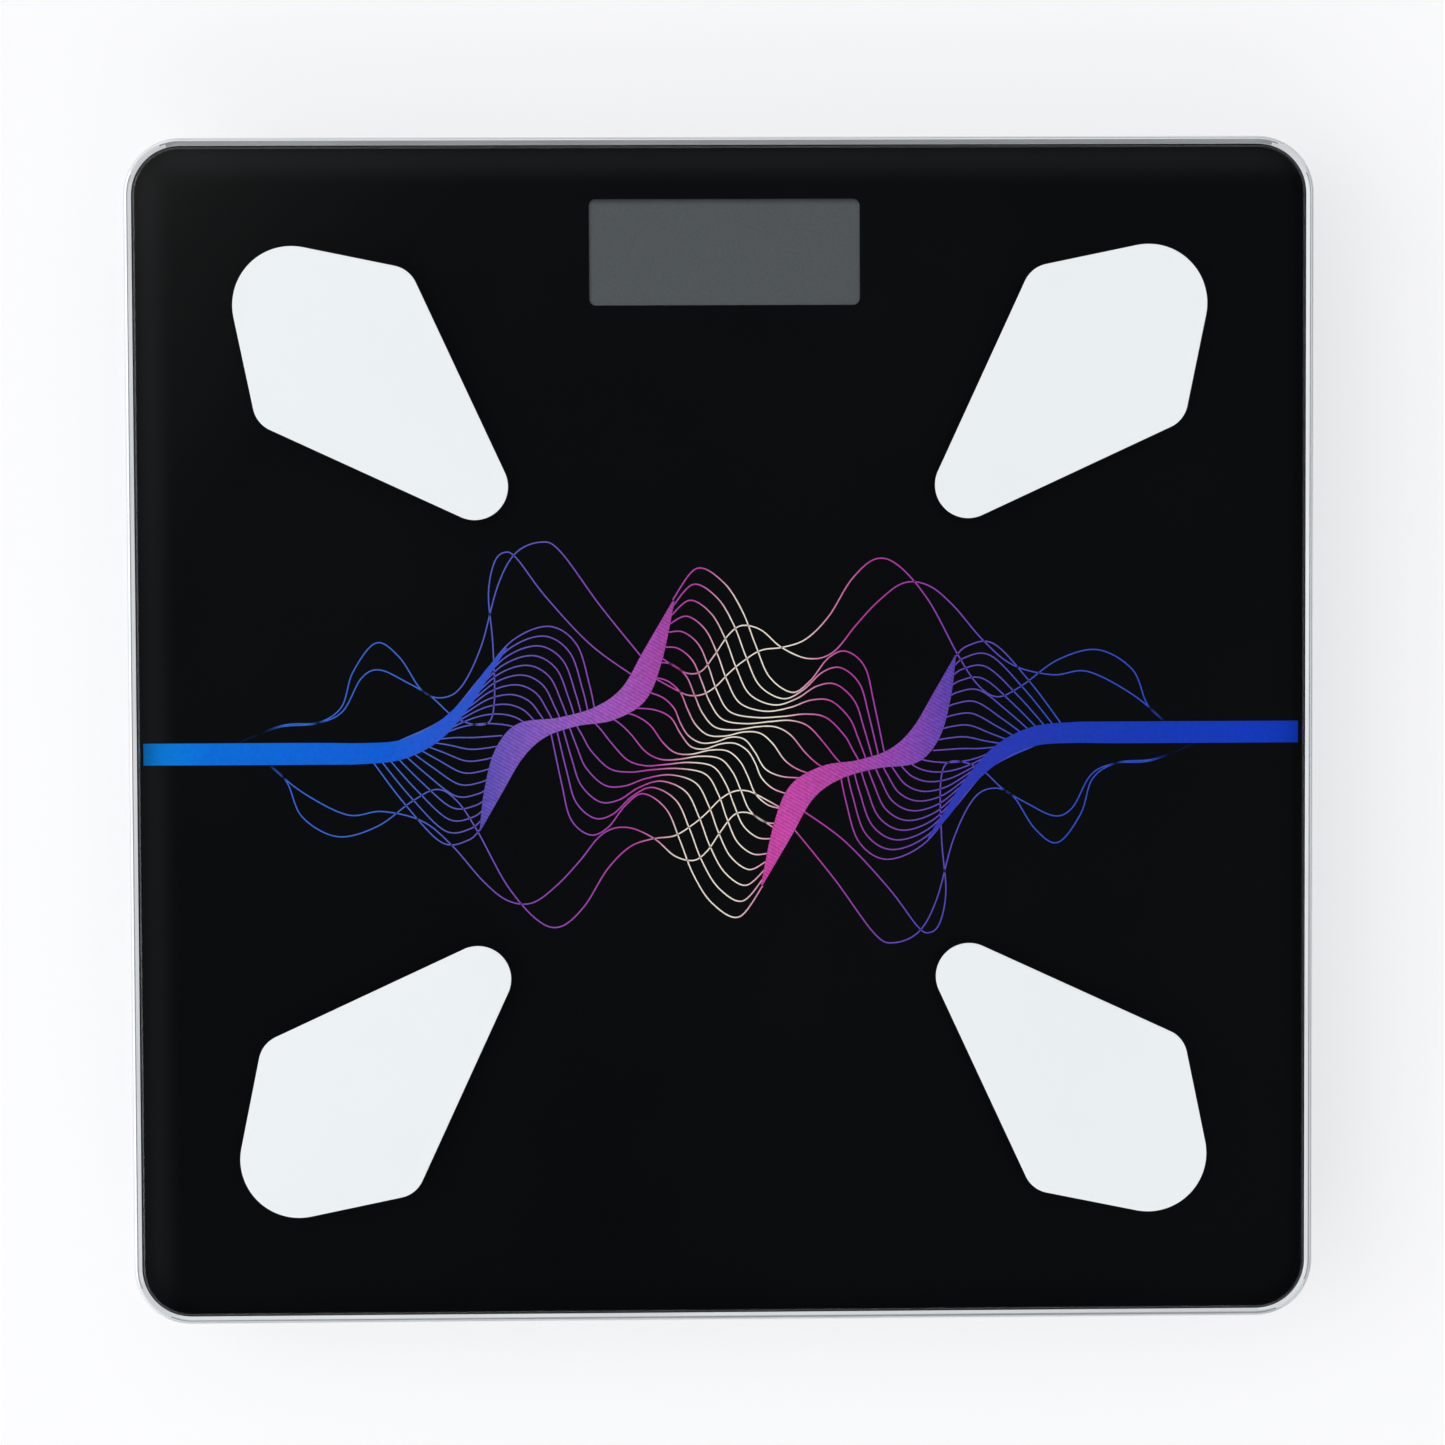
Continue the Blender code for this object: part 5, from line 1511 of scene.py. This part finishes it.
@dataclass
class Feet:
    """Four floating feet: a turned cap with a rubber pad, each on its own load cell."""

    steps: int = 96
    grooves: int = 4
    first_groove: float = 0.3           # shares of the pad's radius
    groove_pitch: float = 0.16
    groove_depth: float = 0.35 * MM
    groove_width: float = 0.9 * MM
    groove_slope: float = 0.1 * MM
    post_radius: float = 4.0 * MM
    gap: float = 0.3 * MM
    bead_proud: float = 1.0 * MM
    bead_height: float = 6.2 * MM
    skirt_wall: float = 1.8 * MM
    web: float = 2.0 * MM               # disc's thickness above the pad

    def build(self) -> None:
        """Make each foot's cap and pad."""
        for corner in CORNERS:
            self.build_cap(corner)
            self.build_pad(corner)

    def build_cap(self, corner: str) -> None:
        """Turned cap with a rounded skirt, a snap bead and a post for the load cell.

        Args:
            corner: foot's name in CORNERS.
        """
        low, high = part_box(f"foot_cap_{corner}")
        pad_low, pad_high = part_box(f"foot_pad_{corner}")
        centre = ((low + high) / 2).xy
        bead = (high.x - low.x) / 2
        skirt = bead - self.bead_proud
        disc = pad_high.z + self.gap
        recess = (pad_high.x - pad_low.x) / 2 + self.gap
        bead_z = self.bead_height
        bead_top = bead_z + 1.4 * MM
        inner = skirt - self.skirt_wall
        shelf = disc + self.web
        profile = fillet([
            (0, disc, 0), (recess, disc, 0), (recess, low.z, 0.25 * MM),
            (skirt - 0.1 * MM, low.z, 1.4 * MM), (skirt, bead_z, 0), (bead, bead_z, 0.1 * MM),
            (bead, bead_z + 0.5 * MM, 0.3 * MM), (skirt, bead_top, 0),
            (inner, bead_top, 0), (inner, shelf, 0.5 * MM),
            (self.post_radius, shelf, 0.4 * MM), (self.post_radius, high.z, 0.4 * MM),
            (0, high.z, 0),
        ], 4)
        cap = new_object(f"foot_cap_shell_{corner}", turned(profile, self.steps, centre))
        dress(cap, [GREY_ABS], f"foot_{corner}", [f"foot_cap_{corner}"])

    def build_pad(self, corner: str) -> None:
        """Rubber disc with concentric grip grooves in the face that meets the floor.

        Args:
            corner: foot's name in CORNERS.
        """
        low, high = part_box(f"foot_pad_{corner}")
        centre = ((low + high) / 2).xy
        radius = (high.x - low.x) / 2
        path = [(0, low.z, 0)]
        for i in range(self.grooves):
            start = radius * (self.first_groove + self.groove_pitch * i)
            end = start + self.groove_width
            floor = low.z + self.groove_depth
            path += [
                (start, low.z, 0.12 * MM), (start + self.groove_slope, floor, 0.1 * MM),
                (end - self.groove_slope, floor, 0.1 * MM), (end, low.z, 0.12 * MM),
            ]
        path += [(radius, low.z, 0.5 * MM), (radius, high.z, 0.15 * MM), (0, high.z, 0)]
        pad = new_object(
            f"foot_pad_rubber_{corner}", turned(fillet(path, 3), self.steps, centre)
        )
        dress(pad, [GREY_RUBBER], f"foot_{corner}", [f"foot_pad_{corner}"])


# ------------------------------------------------------------------ battery bay
@dataclass
class BatteryDoor:
    """Flush snap door with a sprung latch finger, grip ribs and a moulded arrow."""

    corner_radius: float = 1.5 * MM
    edge: float = 0.22 * MM
    latch: Point = (12 * MM, 8 * MM)
    slit: float = 0.8 * MM
    rib_pitch: float = 1.4 * MM
    ribs: int = 4
    tab_spacing: float = 28 * MM
    tab: tuple[float, float, float] = (7 * MM, 3.4 * MM, 0.8 * MM)
    tab_reach: float = 1.4 * MM         # how far the tabs stand out behind the plate
    arrow_radius: float = 2.6 * MM
    engraving: float = 0.3 * MM

    def build(self) -> None:
        """Make the door over its CAD node."""
        low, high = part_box("battery_door")
        plate_back = high.y - self.tab_reach
        half_y = (plate_back - low.y) / 2
        centre_y = (plate_back + low.y) / 2
        bm = rounded_plate(high.x, half_y, self.corner_radius, 6)
        thicken(bm, low.z, high.z)
        soften(bm, self.edge, 3, where=lambda e: max(v.co.z for v in e.verts) < low.z + 1e-6)
        bmesh.ops.translate(bm, verts=bm.verts, vec=(0, centre_y, 0))
        door = new_object("battery_door_panel", bm)
        carve(door, self.tools(low, high))
        dress(door, [SILVER_ABS], "battery_door", ["battery_door"], smooth=30)

    def tools(self, low: Vector, high: Vector) -> list[tuple[bmesh.types.BMesh, str]]:
        """Tabs to add; slits, grip valleys and an arrow to cut.

        Args:
            low: lowest corner of the CAD door.
            high: its highest corner.

        Returns:
            Solids with "UNION" or "DIFFERENCE".
        """
        _, tab_l, tab_t = self.tab
        tab_z = high.z - tab_t / 2 - 0.02 * MM
        tabs = join(
            soften(box((sx * self.tab_spacing / 2, high.y - tab_l / 2, tab_z), self.tab), 0.12 * MM)
            for sx in (-1, 1)
        )
        latch_w, latch_l = self.latch
        thick = high.z - low.z
        slits = join(
            box((sx * (latch_w + self.slit) / 2, low.y + latch_l / 2 - 1 * MM, low.z + thick / 2),
                (self.slit, latch_l + 2 * MM, thick * 2))
            for sx in (-1, 1)
        )
        valleys = join(
            soften(box((0, low.y + (1.6 + i * self.rib_pitch / MM) * MM, low.z),
                       (latch_w - 2 * MM, 0.7 * MM, 0.7 * MM)), 0.2 * MM)
            for i in range(self.ribs)
        )
        arrow = bmesh.new()
        bmesh.ops.create_circle(arrow, cap_ends=True, radius=self.arrow_radius, segments=3)
        thicken(arrow, low.z - self.engraving, low.z + self.engraving)
        bmesh.ops.translate(arrow, verts=arrow.verts, vec=(0, low.y + latch_l + 4 * MM, 0))
        return [
            (tabs, "UNION"), (slits, "DIFFERENCE"), (valleys, "DIFFERENCE"),
            (arrow, "DIFFERENCE"),
        ]


@dataclass
class Batteries:
    """Two small dry cells, head to tail, and the sprung contacts between them."""

    steps: int = 64
    nub: Point = (1.9 * MM, 1.2 * MM)
    bare_end: float = 0.9 * MM
    sleeve_wall: float = 0.12 * MM
    foot: Point = (1.2 * MM, 0.15 * MM)         # dished foot's inset and depth
    collar: Point = (1.4 * MM, 0.3 * MM)        # head's sunk collar: inset and depth
    head_share: float = 0.72            # share of the length where the coloured head starts
    wire: float = 0.3 * MM
    turns: float = 3.0
    wide: float = 4.0 * MM
    narrow: float = 2.7 * MM

    def build(self) -> None:
        """Make the cells and the two springs."""
        for place, towards in (("rear", 1), ("front", -1)):
            self.build_cell(place, towards)
        self.build_spring("bridge", "contact_spring_bridge", -1)
        self.build_spring("negative", "contact_spring_negative", 1)

    def build_cell(self, place: str, towards: int) -> None:
        """Turned can with a rolled shoulder; the sleeve leaves both ends bare.

        Args:
            place: "rear" or "front".
            towards: direction of the cell's head along X.
        """
        low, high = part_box(f"battery_cell_{place}")
        radius = (high.z - low.z) / 2
        length = high.x - low.x
        (foot_in, foot_z), (collar_in, collar_z) = self.foot, self.collar
        nub_r, nub_h = self.nub
        can = length - nub_h
        profile = fillet([
            (0, foot_z, 0), (radius - foot_in, foot_z, 0.1 * MM),
            (radius - foot_in + 0.3 * MM, 0, 0.2 * MM),
            (radius - self.sleeve_wall, 0, 0.3 * MM), (radius - self.sleeve_wall, self.bare_end, 0),
            (radius, self.bare_end + 0.05 * MM, 0.05 * MM),
            (radius, can - 0.5 * MM, 0.4 * MM), (radius - 1.0 * MM, can, 0.2 * MM),
            (radius - collar_in, can - collar_z, 0.1 * MM), (nub_r, can - collar_z, 0.2 * MM),
            (nub_r, length, 0.35 * MM), (0, length, 0),
        ], 3)
        bm = turned(profile, self.steps)
        lay = Vector((0, 0, 1)).rotation_difference(Vector((towards, 0, 0))).to_matrix()
        bmesh.ops.rotate(bm, verts=bm.verts, cent=(0, 0, 0), matrix=lay)
        start = low.x if towards > 0 else high.x
        centre = (low + high) / 2
        bmesh.ops.translate(bm, verts=bm.verts, vec=(start, centre.y, centre.z))
        for face in bm.faces:
            along = (face.calc_center_median().x - start) * towards
            off_axis = math.hypot(face.calc_center_median().y - centre.y,
                                  face.calc_center_median().z - centre.z)
            sleeved = self.bare_end < along < can and off_axis > radius - 0.9 * MM
            face.material_index = 1 if sleeved else 0
        sleeve = CellSleeve(
            f"printed_cell_sleeve_{place}", "1F2226", "25282C", 0.28, ior=1.5,
            texture=Texture.POLISHED, grain=1.0, depth=0.002, drift=8.0, coat=0.6,
            joint=(start + towards * length * self.head_share) / MM, towards=towards,
        )
        cell = new_object(f"dry_cell_{place}", bm)
        dress(cell, [CELL_STEEL, sleeve], "base", [f"battery_cell_{place}"])

    def build_spring(self, name: str, node: str, side: int) -> None:
        """Conical contact spring, wound from its seat towards the cell.

        Args:
            name: name of the spring.
            node: CAD node that it stands for.
            side: side of the bay that it sits on, along X.
        """
        low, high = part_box(node)
        centre = (low + high) / 2
        seat = (high.x if side > 0 else low.x) - side * self.wire
        travel = (high.x - low.x) - 2 * self.wire
        curve = bpy.data.curves.new(f"{name}_spring_line", "CURVE")
        curve.dimensions = "3D"
        curve.bevel_depth = self.wire
        curve.bevel_resolution = 3
        curve.use_fill_caps = True
        count = int(28 * self.turns)
        spline = curve.splines.new("POLY")
        spline.points.add(count)
        for i, point in enumerate(spline.points):
            share = i / count
            angle = math.tau * self.turns * share
            radius = self.wide + (self.narrow - self.wide) * share
            point.co = (
                seat - side * travel * share, centre.y + radius * math.cos(angle),
                centre.z + radius * math.sin(angle), 1.0,
            )
        spring = mesh_from_curve(f"contact_coil_{name}", curve)
        dress(spring, [NICKEL], "base", [node])


@dataclass
class UnitButton:
    """Round unit button, slightly dished, proud of the underside."""

    steps: int = 72
    dish: float = 0.25 * MM
    flange: Point = (1.5 * MM, 0.8 * MM)    # flange's width and thickness

    def build(self) -> None:
        """Make the button over its CAD node."""
        low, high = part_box("unit_button")
        flange = (high.x - low.x) / 2
        radius = flange - self.flange[0]
        top = high.z
        shoulder = top - self.flange[1]
        profile = fillet([
            (0, low.z + self.dish, 0), (radius * 0.55, low.z + self.dish * 0.6, 4 * MM),
            (radius * 0.8, low.z, 0.4 * MM), (radius, low.z, 0.5 * MM), (radius, shoulder, 0),
            (flange, shoulder, 0.15 * MM), (flange, top, 0.15 * MM), (0, top, 0),
        ], 4)
        centre = ((low + high) / 2).xy
        button = new_object("unit_button_cap", turned(profile, self.steps, centre))
        dress(button, [DARK_ABS], "unit_button", ["unit_button"])


# ------------------------------------------------------------------ display
@dataclass
class Display:
    """Liquid-crystal cell: two glass plates and the front polariser."""

    film_margin: float = 1.0 * MM
    film: float = 0.18 * MM
    step_back: float = 2.0 * MM         # front plate is shorter, for the contacts
    bond: float = 0.02 * MM
    edge: float = 0.12 * MM

    def build(self) -> None:
        """Make the cell and its front film."""
        low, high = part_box("lcd_panel")
        centre = (low + high) / 2
        size = high - low
        half = size.z / 2
        back = box((centre.x, centre.y, low.z + half / 2), (size.x, size.y, half - self.bond))
        front = box(
            (centre.x, centre.y + self.step_back / 2, high.z - half / 2),
            (size.x, size.y - self.step_back, half - self.bond),
        )
        for plate in (back, front):
            soften(plate, self.edge)
        cell = new_object("lcd_cell_plates", join([back, front]))
        dress(cell, [LCD_GLASS], "base", ["lcd_panel"])
        sheet = rounded_plate(
            size.x / 2 - self.film_margin, size.y / 2 - self.film_margin, 0.4 * MM, 3
        )
        thicken(sheet, high.z + self.bond, high.z + self.bond + self.film)
        bmesh.ops.translate(sheet, verts=sheet.verts, vec=(centre.x, centre.y, 0))
        film = new_object("lcd_front_polariser", sheet)
        dress(film, [POLARISER], "base")


# ------------------------------------------------------------------ carried-over CAD nodes
@dataclass
class InnerParts:
    """CAD nodes that keep their shape and only take a finish."""

    finishes: dict[str, Finish] = field(default_factory=lambda: {
        "glass_adhesive_tape": WHITE_FOAM,
        "lcd_holder": BLACK_ABS,
        "backlight_diffuser": ACRYLIC,
        "zebra_connector": ZEBRA,
        "main_board": BOARD,
        "controller_chip": EPOXY,
        "amplifier_chip": EPOXY,
        "quartz_crystal": TIN_CAN,
        "smoothing_capacitor": TIN_CAN,
        "board_screw": ZINC,
        "contact": NICKEL,
        "unit_switch_plunger": DARK_ABS,
        "unit_switch": EPOXY,
        "load_cell_lead": WHITE_PVC,
        "load_cell": CELL_STEEL,
        "strain_gauge": SILICONE,
        "electrode_lead": GREEN_PVC,
        "battery_lead_positive": RED_PVC,
        "battery_lead_negative": BLACK_PVC,
    })

    def build(self) -> None:
        """Dress every node that is still shown by the longest matching start of its name."""
        for name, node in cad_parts.items():
            if node.hide_render:
                continue
            starts = [s for s in self.finishes if name.startswith(s)]
            finish = self.finishes[max(starts, key=len)]
            node.data.materials.clear()
            node.data.materials.append(finish.material())
            LOG.info("node %s dressed in %s", name, finish.name)


# ------------------------------------------------------------------ studio
@dataclass
class Panel:
    """One soft light: where it stands, how big and how strong it is.

    Attributes:
        name: light's name.
        place: position in metres; the light faces the platform.
        size: width and height in metres.
        power: watts.
        colour: sRGB hex colour.
    """

    name: str
    place: tuple[float, float, float]
    size: Point
    power: float
    colour: str = "FFFFFF"

    def build(self) -> None:
        """Hang the light, facing the middle of the platform."""
        data = bpy.data.lights.new(self.name, "AREA")
        data.shape = "RECTANGLE"
        data.size, data.size_y = self.size
        data.energy = self.power
        data.color = linear(self.colour)[:3]
        lamp = bpy.data.objects.new(self.name, data)
        lamp.location = self.place
        lamp.rotation_euler = (-Vector(self.place)).to_track_quat("-Z", "Y").to_euler()
        bpy.context.scene.collection.objects.link(lamp)


@dataclass
class Studio:
    """Pale sweep, soft panels and a camera almost straight overhead."""

    panels: tuple[Panel, ...] = (
        Panel("left_softbox", (-1.7, 0.1, 1.25), (1.8, 1.8), 9.0),
        Panel("front_softbox", (-0.2, -1.8, 1.2), (2.2, 1.2), 7.0),
        Panel("underside_fill", (0.3, -0.5, -1.2), (1.6, 1.6), 12.0),
    )
    floor_half: float = 8.0
    floor_colour: str = "BCBCBE"
    floor_glow: float = 0.42
    zenith: tuple[float, float, float] = (0.05, 0.053, 0.06)
    dome: float = 1.32
    backdrop: str = "F4F5F7"            # plain tone of the room where it is seen directly
    zenith_lean: tuple[float, float, float] = (0.25, -0.22, 1.0)
    zenith_edge: tuple[Point, ...] = ((0.0, 1.0), (0.85, 1.0), (0.88, 0.4), (0.9, 0.12))
    zenith_rim: float = 0.918           # cosine from the lean where the dark zenith starts
    bright_side: tuple[float, float, float] = (-0.9, 0.25, 0.1)
    side_range: Point = (0.55, 1.0)     # strength on the dull side and on the bright side
    open_side: Point = (0.2, 0.7)       # cosines from the bright side between which flags end
    card: Point = (0.18, 0.3)           # sines from the zenith where the right card sets in
    flag_top: float = 0.85              # sine of the height up to which dark flags stand
    flag_shade: float = 0.12
    camera_height: float = 900 * MM     # above the glass
    camera_offset: Point = (-19.6 * MM, 43.0 * MM)
    camera_tilt: tuple[float, float, float] = (-2.593, -1.255, -0.239)
    lens: float = 102.4

    def build(self) -> None:
        """Set up the floor, the lights, the room and the camera."""
        self.build_floor()
        for panel in self.panels:
            panel.build()
        self.build_room()
        self.build_camera()
        bpy.context.scene.view_settings.view_transform = "Standard"

    def build_floor(self) -> None:
        """Wide matt floor; its underside is clear, so that views from below see the base."""
        bm = bmesh.new()
        bmesh.ops.create_grid(bm, x_segments=1, y_segments=1, size=self.floor_half)
        floor = new_object("studio_floor", bm)
        mat = bpy.data.materials.new("matt_paper_sweep")
        mat.use_nodes = True
        tree = mat.node_tree
        shader = tree.nodes["Principled BSDF"]
        shader.inputs["Base Color"].default_value = linear(self.floor_colour)
        shader.inputs["Roughness"].default_value = 0.9
        shader.inputs["Specular IOR Level"].default_value = 0.1
        shader.inputs["Emission Color"].default_value = (1, 1, 1, 1)
        shader.inputs["Emission Strength"].default_value = self.floor_glow
        clear = add_node(tree, "BsdfTransparent")
        below = add_node(tree, "NewGeometry").outputs["Backfacing"]
        mixed = add_node(tree, "MixShader", inputs={
            0: below, 1: shader.outputs[0], 2: clear.outputs[0],
        })
        tree.links.new(mixed.outputs[0], tree.nodes["Material Output"].inputs["Surface"])
        floor.data.materials.append(mat)
        floor.visible_shadow = False

    def build_room(self) -> None:
        """Room light: a pale dome, dark where the glass looks, with low flags for its gloss."""
        world = bpy.data.worlds.new("pale_room")
        world.use_nodes = True
        bpy.context.scene.world = world
        tree = world.node_tree
        way = add_node(tree, "TexCoord").outputs["Generated"]
        lean, side = (
            add_node(tree, "VectorMath", {"operation": "DOT_PRODUCT"}, {
                0: way, 1: Vector(axis).normalized(),
            }).outputs["Value"]
            for axis in (self.zenith_lean, self.bright_side)
        )
        stops = [(at, (self.dome * share,) * 3 + (1,)) for at, share in self.zenith_edge]
        stops.append((self.zenith_rim, (*self.zenith, 1)))
        grey = add_node(tree, "ValToRGB", inputs={"Fac": lean}, stops=stops).outputs["Color"]
        gain = add_node(tree, "MapRange", inputs={
            "Value": side, "From Min": -1.0, "From Max": 1.0,
            "To Min": self.side_range[0], "To Max": self.side_range[1],
        }).outputs["Result"]
        axes = add_node(tree, "SeparateXYZ", inputs={0: way})
        card = add_node(tree, "MapRange", {"interpolation_type": "SMOOTHSTEP"}, {
            "Value": axes.outputs["X"], "From Min": self.card[0], "From Max": self.card[1],
        }).outputs["Result"]
        grey = add_node(tree, "Mix", {"data_type": "RGBA"}, {
            "Factor": card, 6: grey, 7: (self.dome,) * 3 + (1,),
        }).outputs[2]
        flag = add_node(tree, "MapRange", {"interpolation_type": "SMOOTHSTEP"}, {
            "Value": axes.outputs["Z"], "From Min": 0.0, "From Max": self.flag_top,
            "To Min": self.flag_shade, "To Max": 1.0,
        }).outputs["Result"]
        flagged = add_node(tree, "MapRange", {"interpolation_type": "SMOOTHSTEP"}, {
            "Value": side, "From Min": self.open_side[0], "From Max": self.open_side[1],
            "To Min": 1.0, "To Max": 0.0,
        }).outputs["Result"]
        path = add_node(tree, "LightPath")
        share = add_node(tree, "Math", {"operation": "MULTIPLY"}, {
            0: path.outputs["Is Glossy Ray"], 1: flagged,
        })
        grey = add_node(tree, "Mix", {"data_type": "RGBA"}, {
            "Factor": path.outputs["Is Camera Ray"], 6: grey, 7: linear(self.backdrop),
        }).outputs[2]
        dimming = add_node(tree, "Mix", inputs={
            "Factor": share.outputs[0], 2: 1.0, 3: flag,
        }).outputs[0]
        strength = add_node(tree, "Math", {"operation": "MULTIPLY"}, {0: gain, 1: dimming})
        background = tree.nodes["Background"]
        tree.links.new(grey, background.inputs["Color"])
        steady = add_node(tree, "Mix", inputs={
            "Factor": path.outputs["Is Camera Ray"], 2: strength.outputs[0], 3: 1.0,
        }).outputs[0]
        tree.links.new(steady, background.inputs["Strength"])

    def build_camera(self) -> None:
        """Long-lens camera above the glass, a little off its middle."""
        data = bpy.data.cameras.new("overhead_camera")
        data.lens = self.lens
        data.sensor_width = 36.0
        data.dof.use_dof = False
        camera = bpy.data.objects.new("overhead_camera", data)
        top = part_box("glass_platform")[1].z
        camera.location = (*self.camera_offset, top + self.camera_height)
        camera.rotation_euler = [math.radians(a) for a in self.camera_tilt]
        bpy.context.scene.collection.objects.link(camera)
        bpy.context.scene.camera = camera


def main() -> None:
    """Build the studio and every sub-assembly in order."""
    logging.basicConfig(level=logging.INFO, format="%(message)s")
    for part in (
        Studio(), BaseShell(), Platform(), Electrodes(), Display(), Feet(), BatteryDoor(),
        Batteries(), UnitButton(), InnerParts(),
    ):
        LOG.info("building %s", type(part).__name__)
        part.build()


if __name__ == "__main__":
    main()
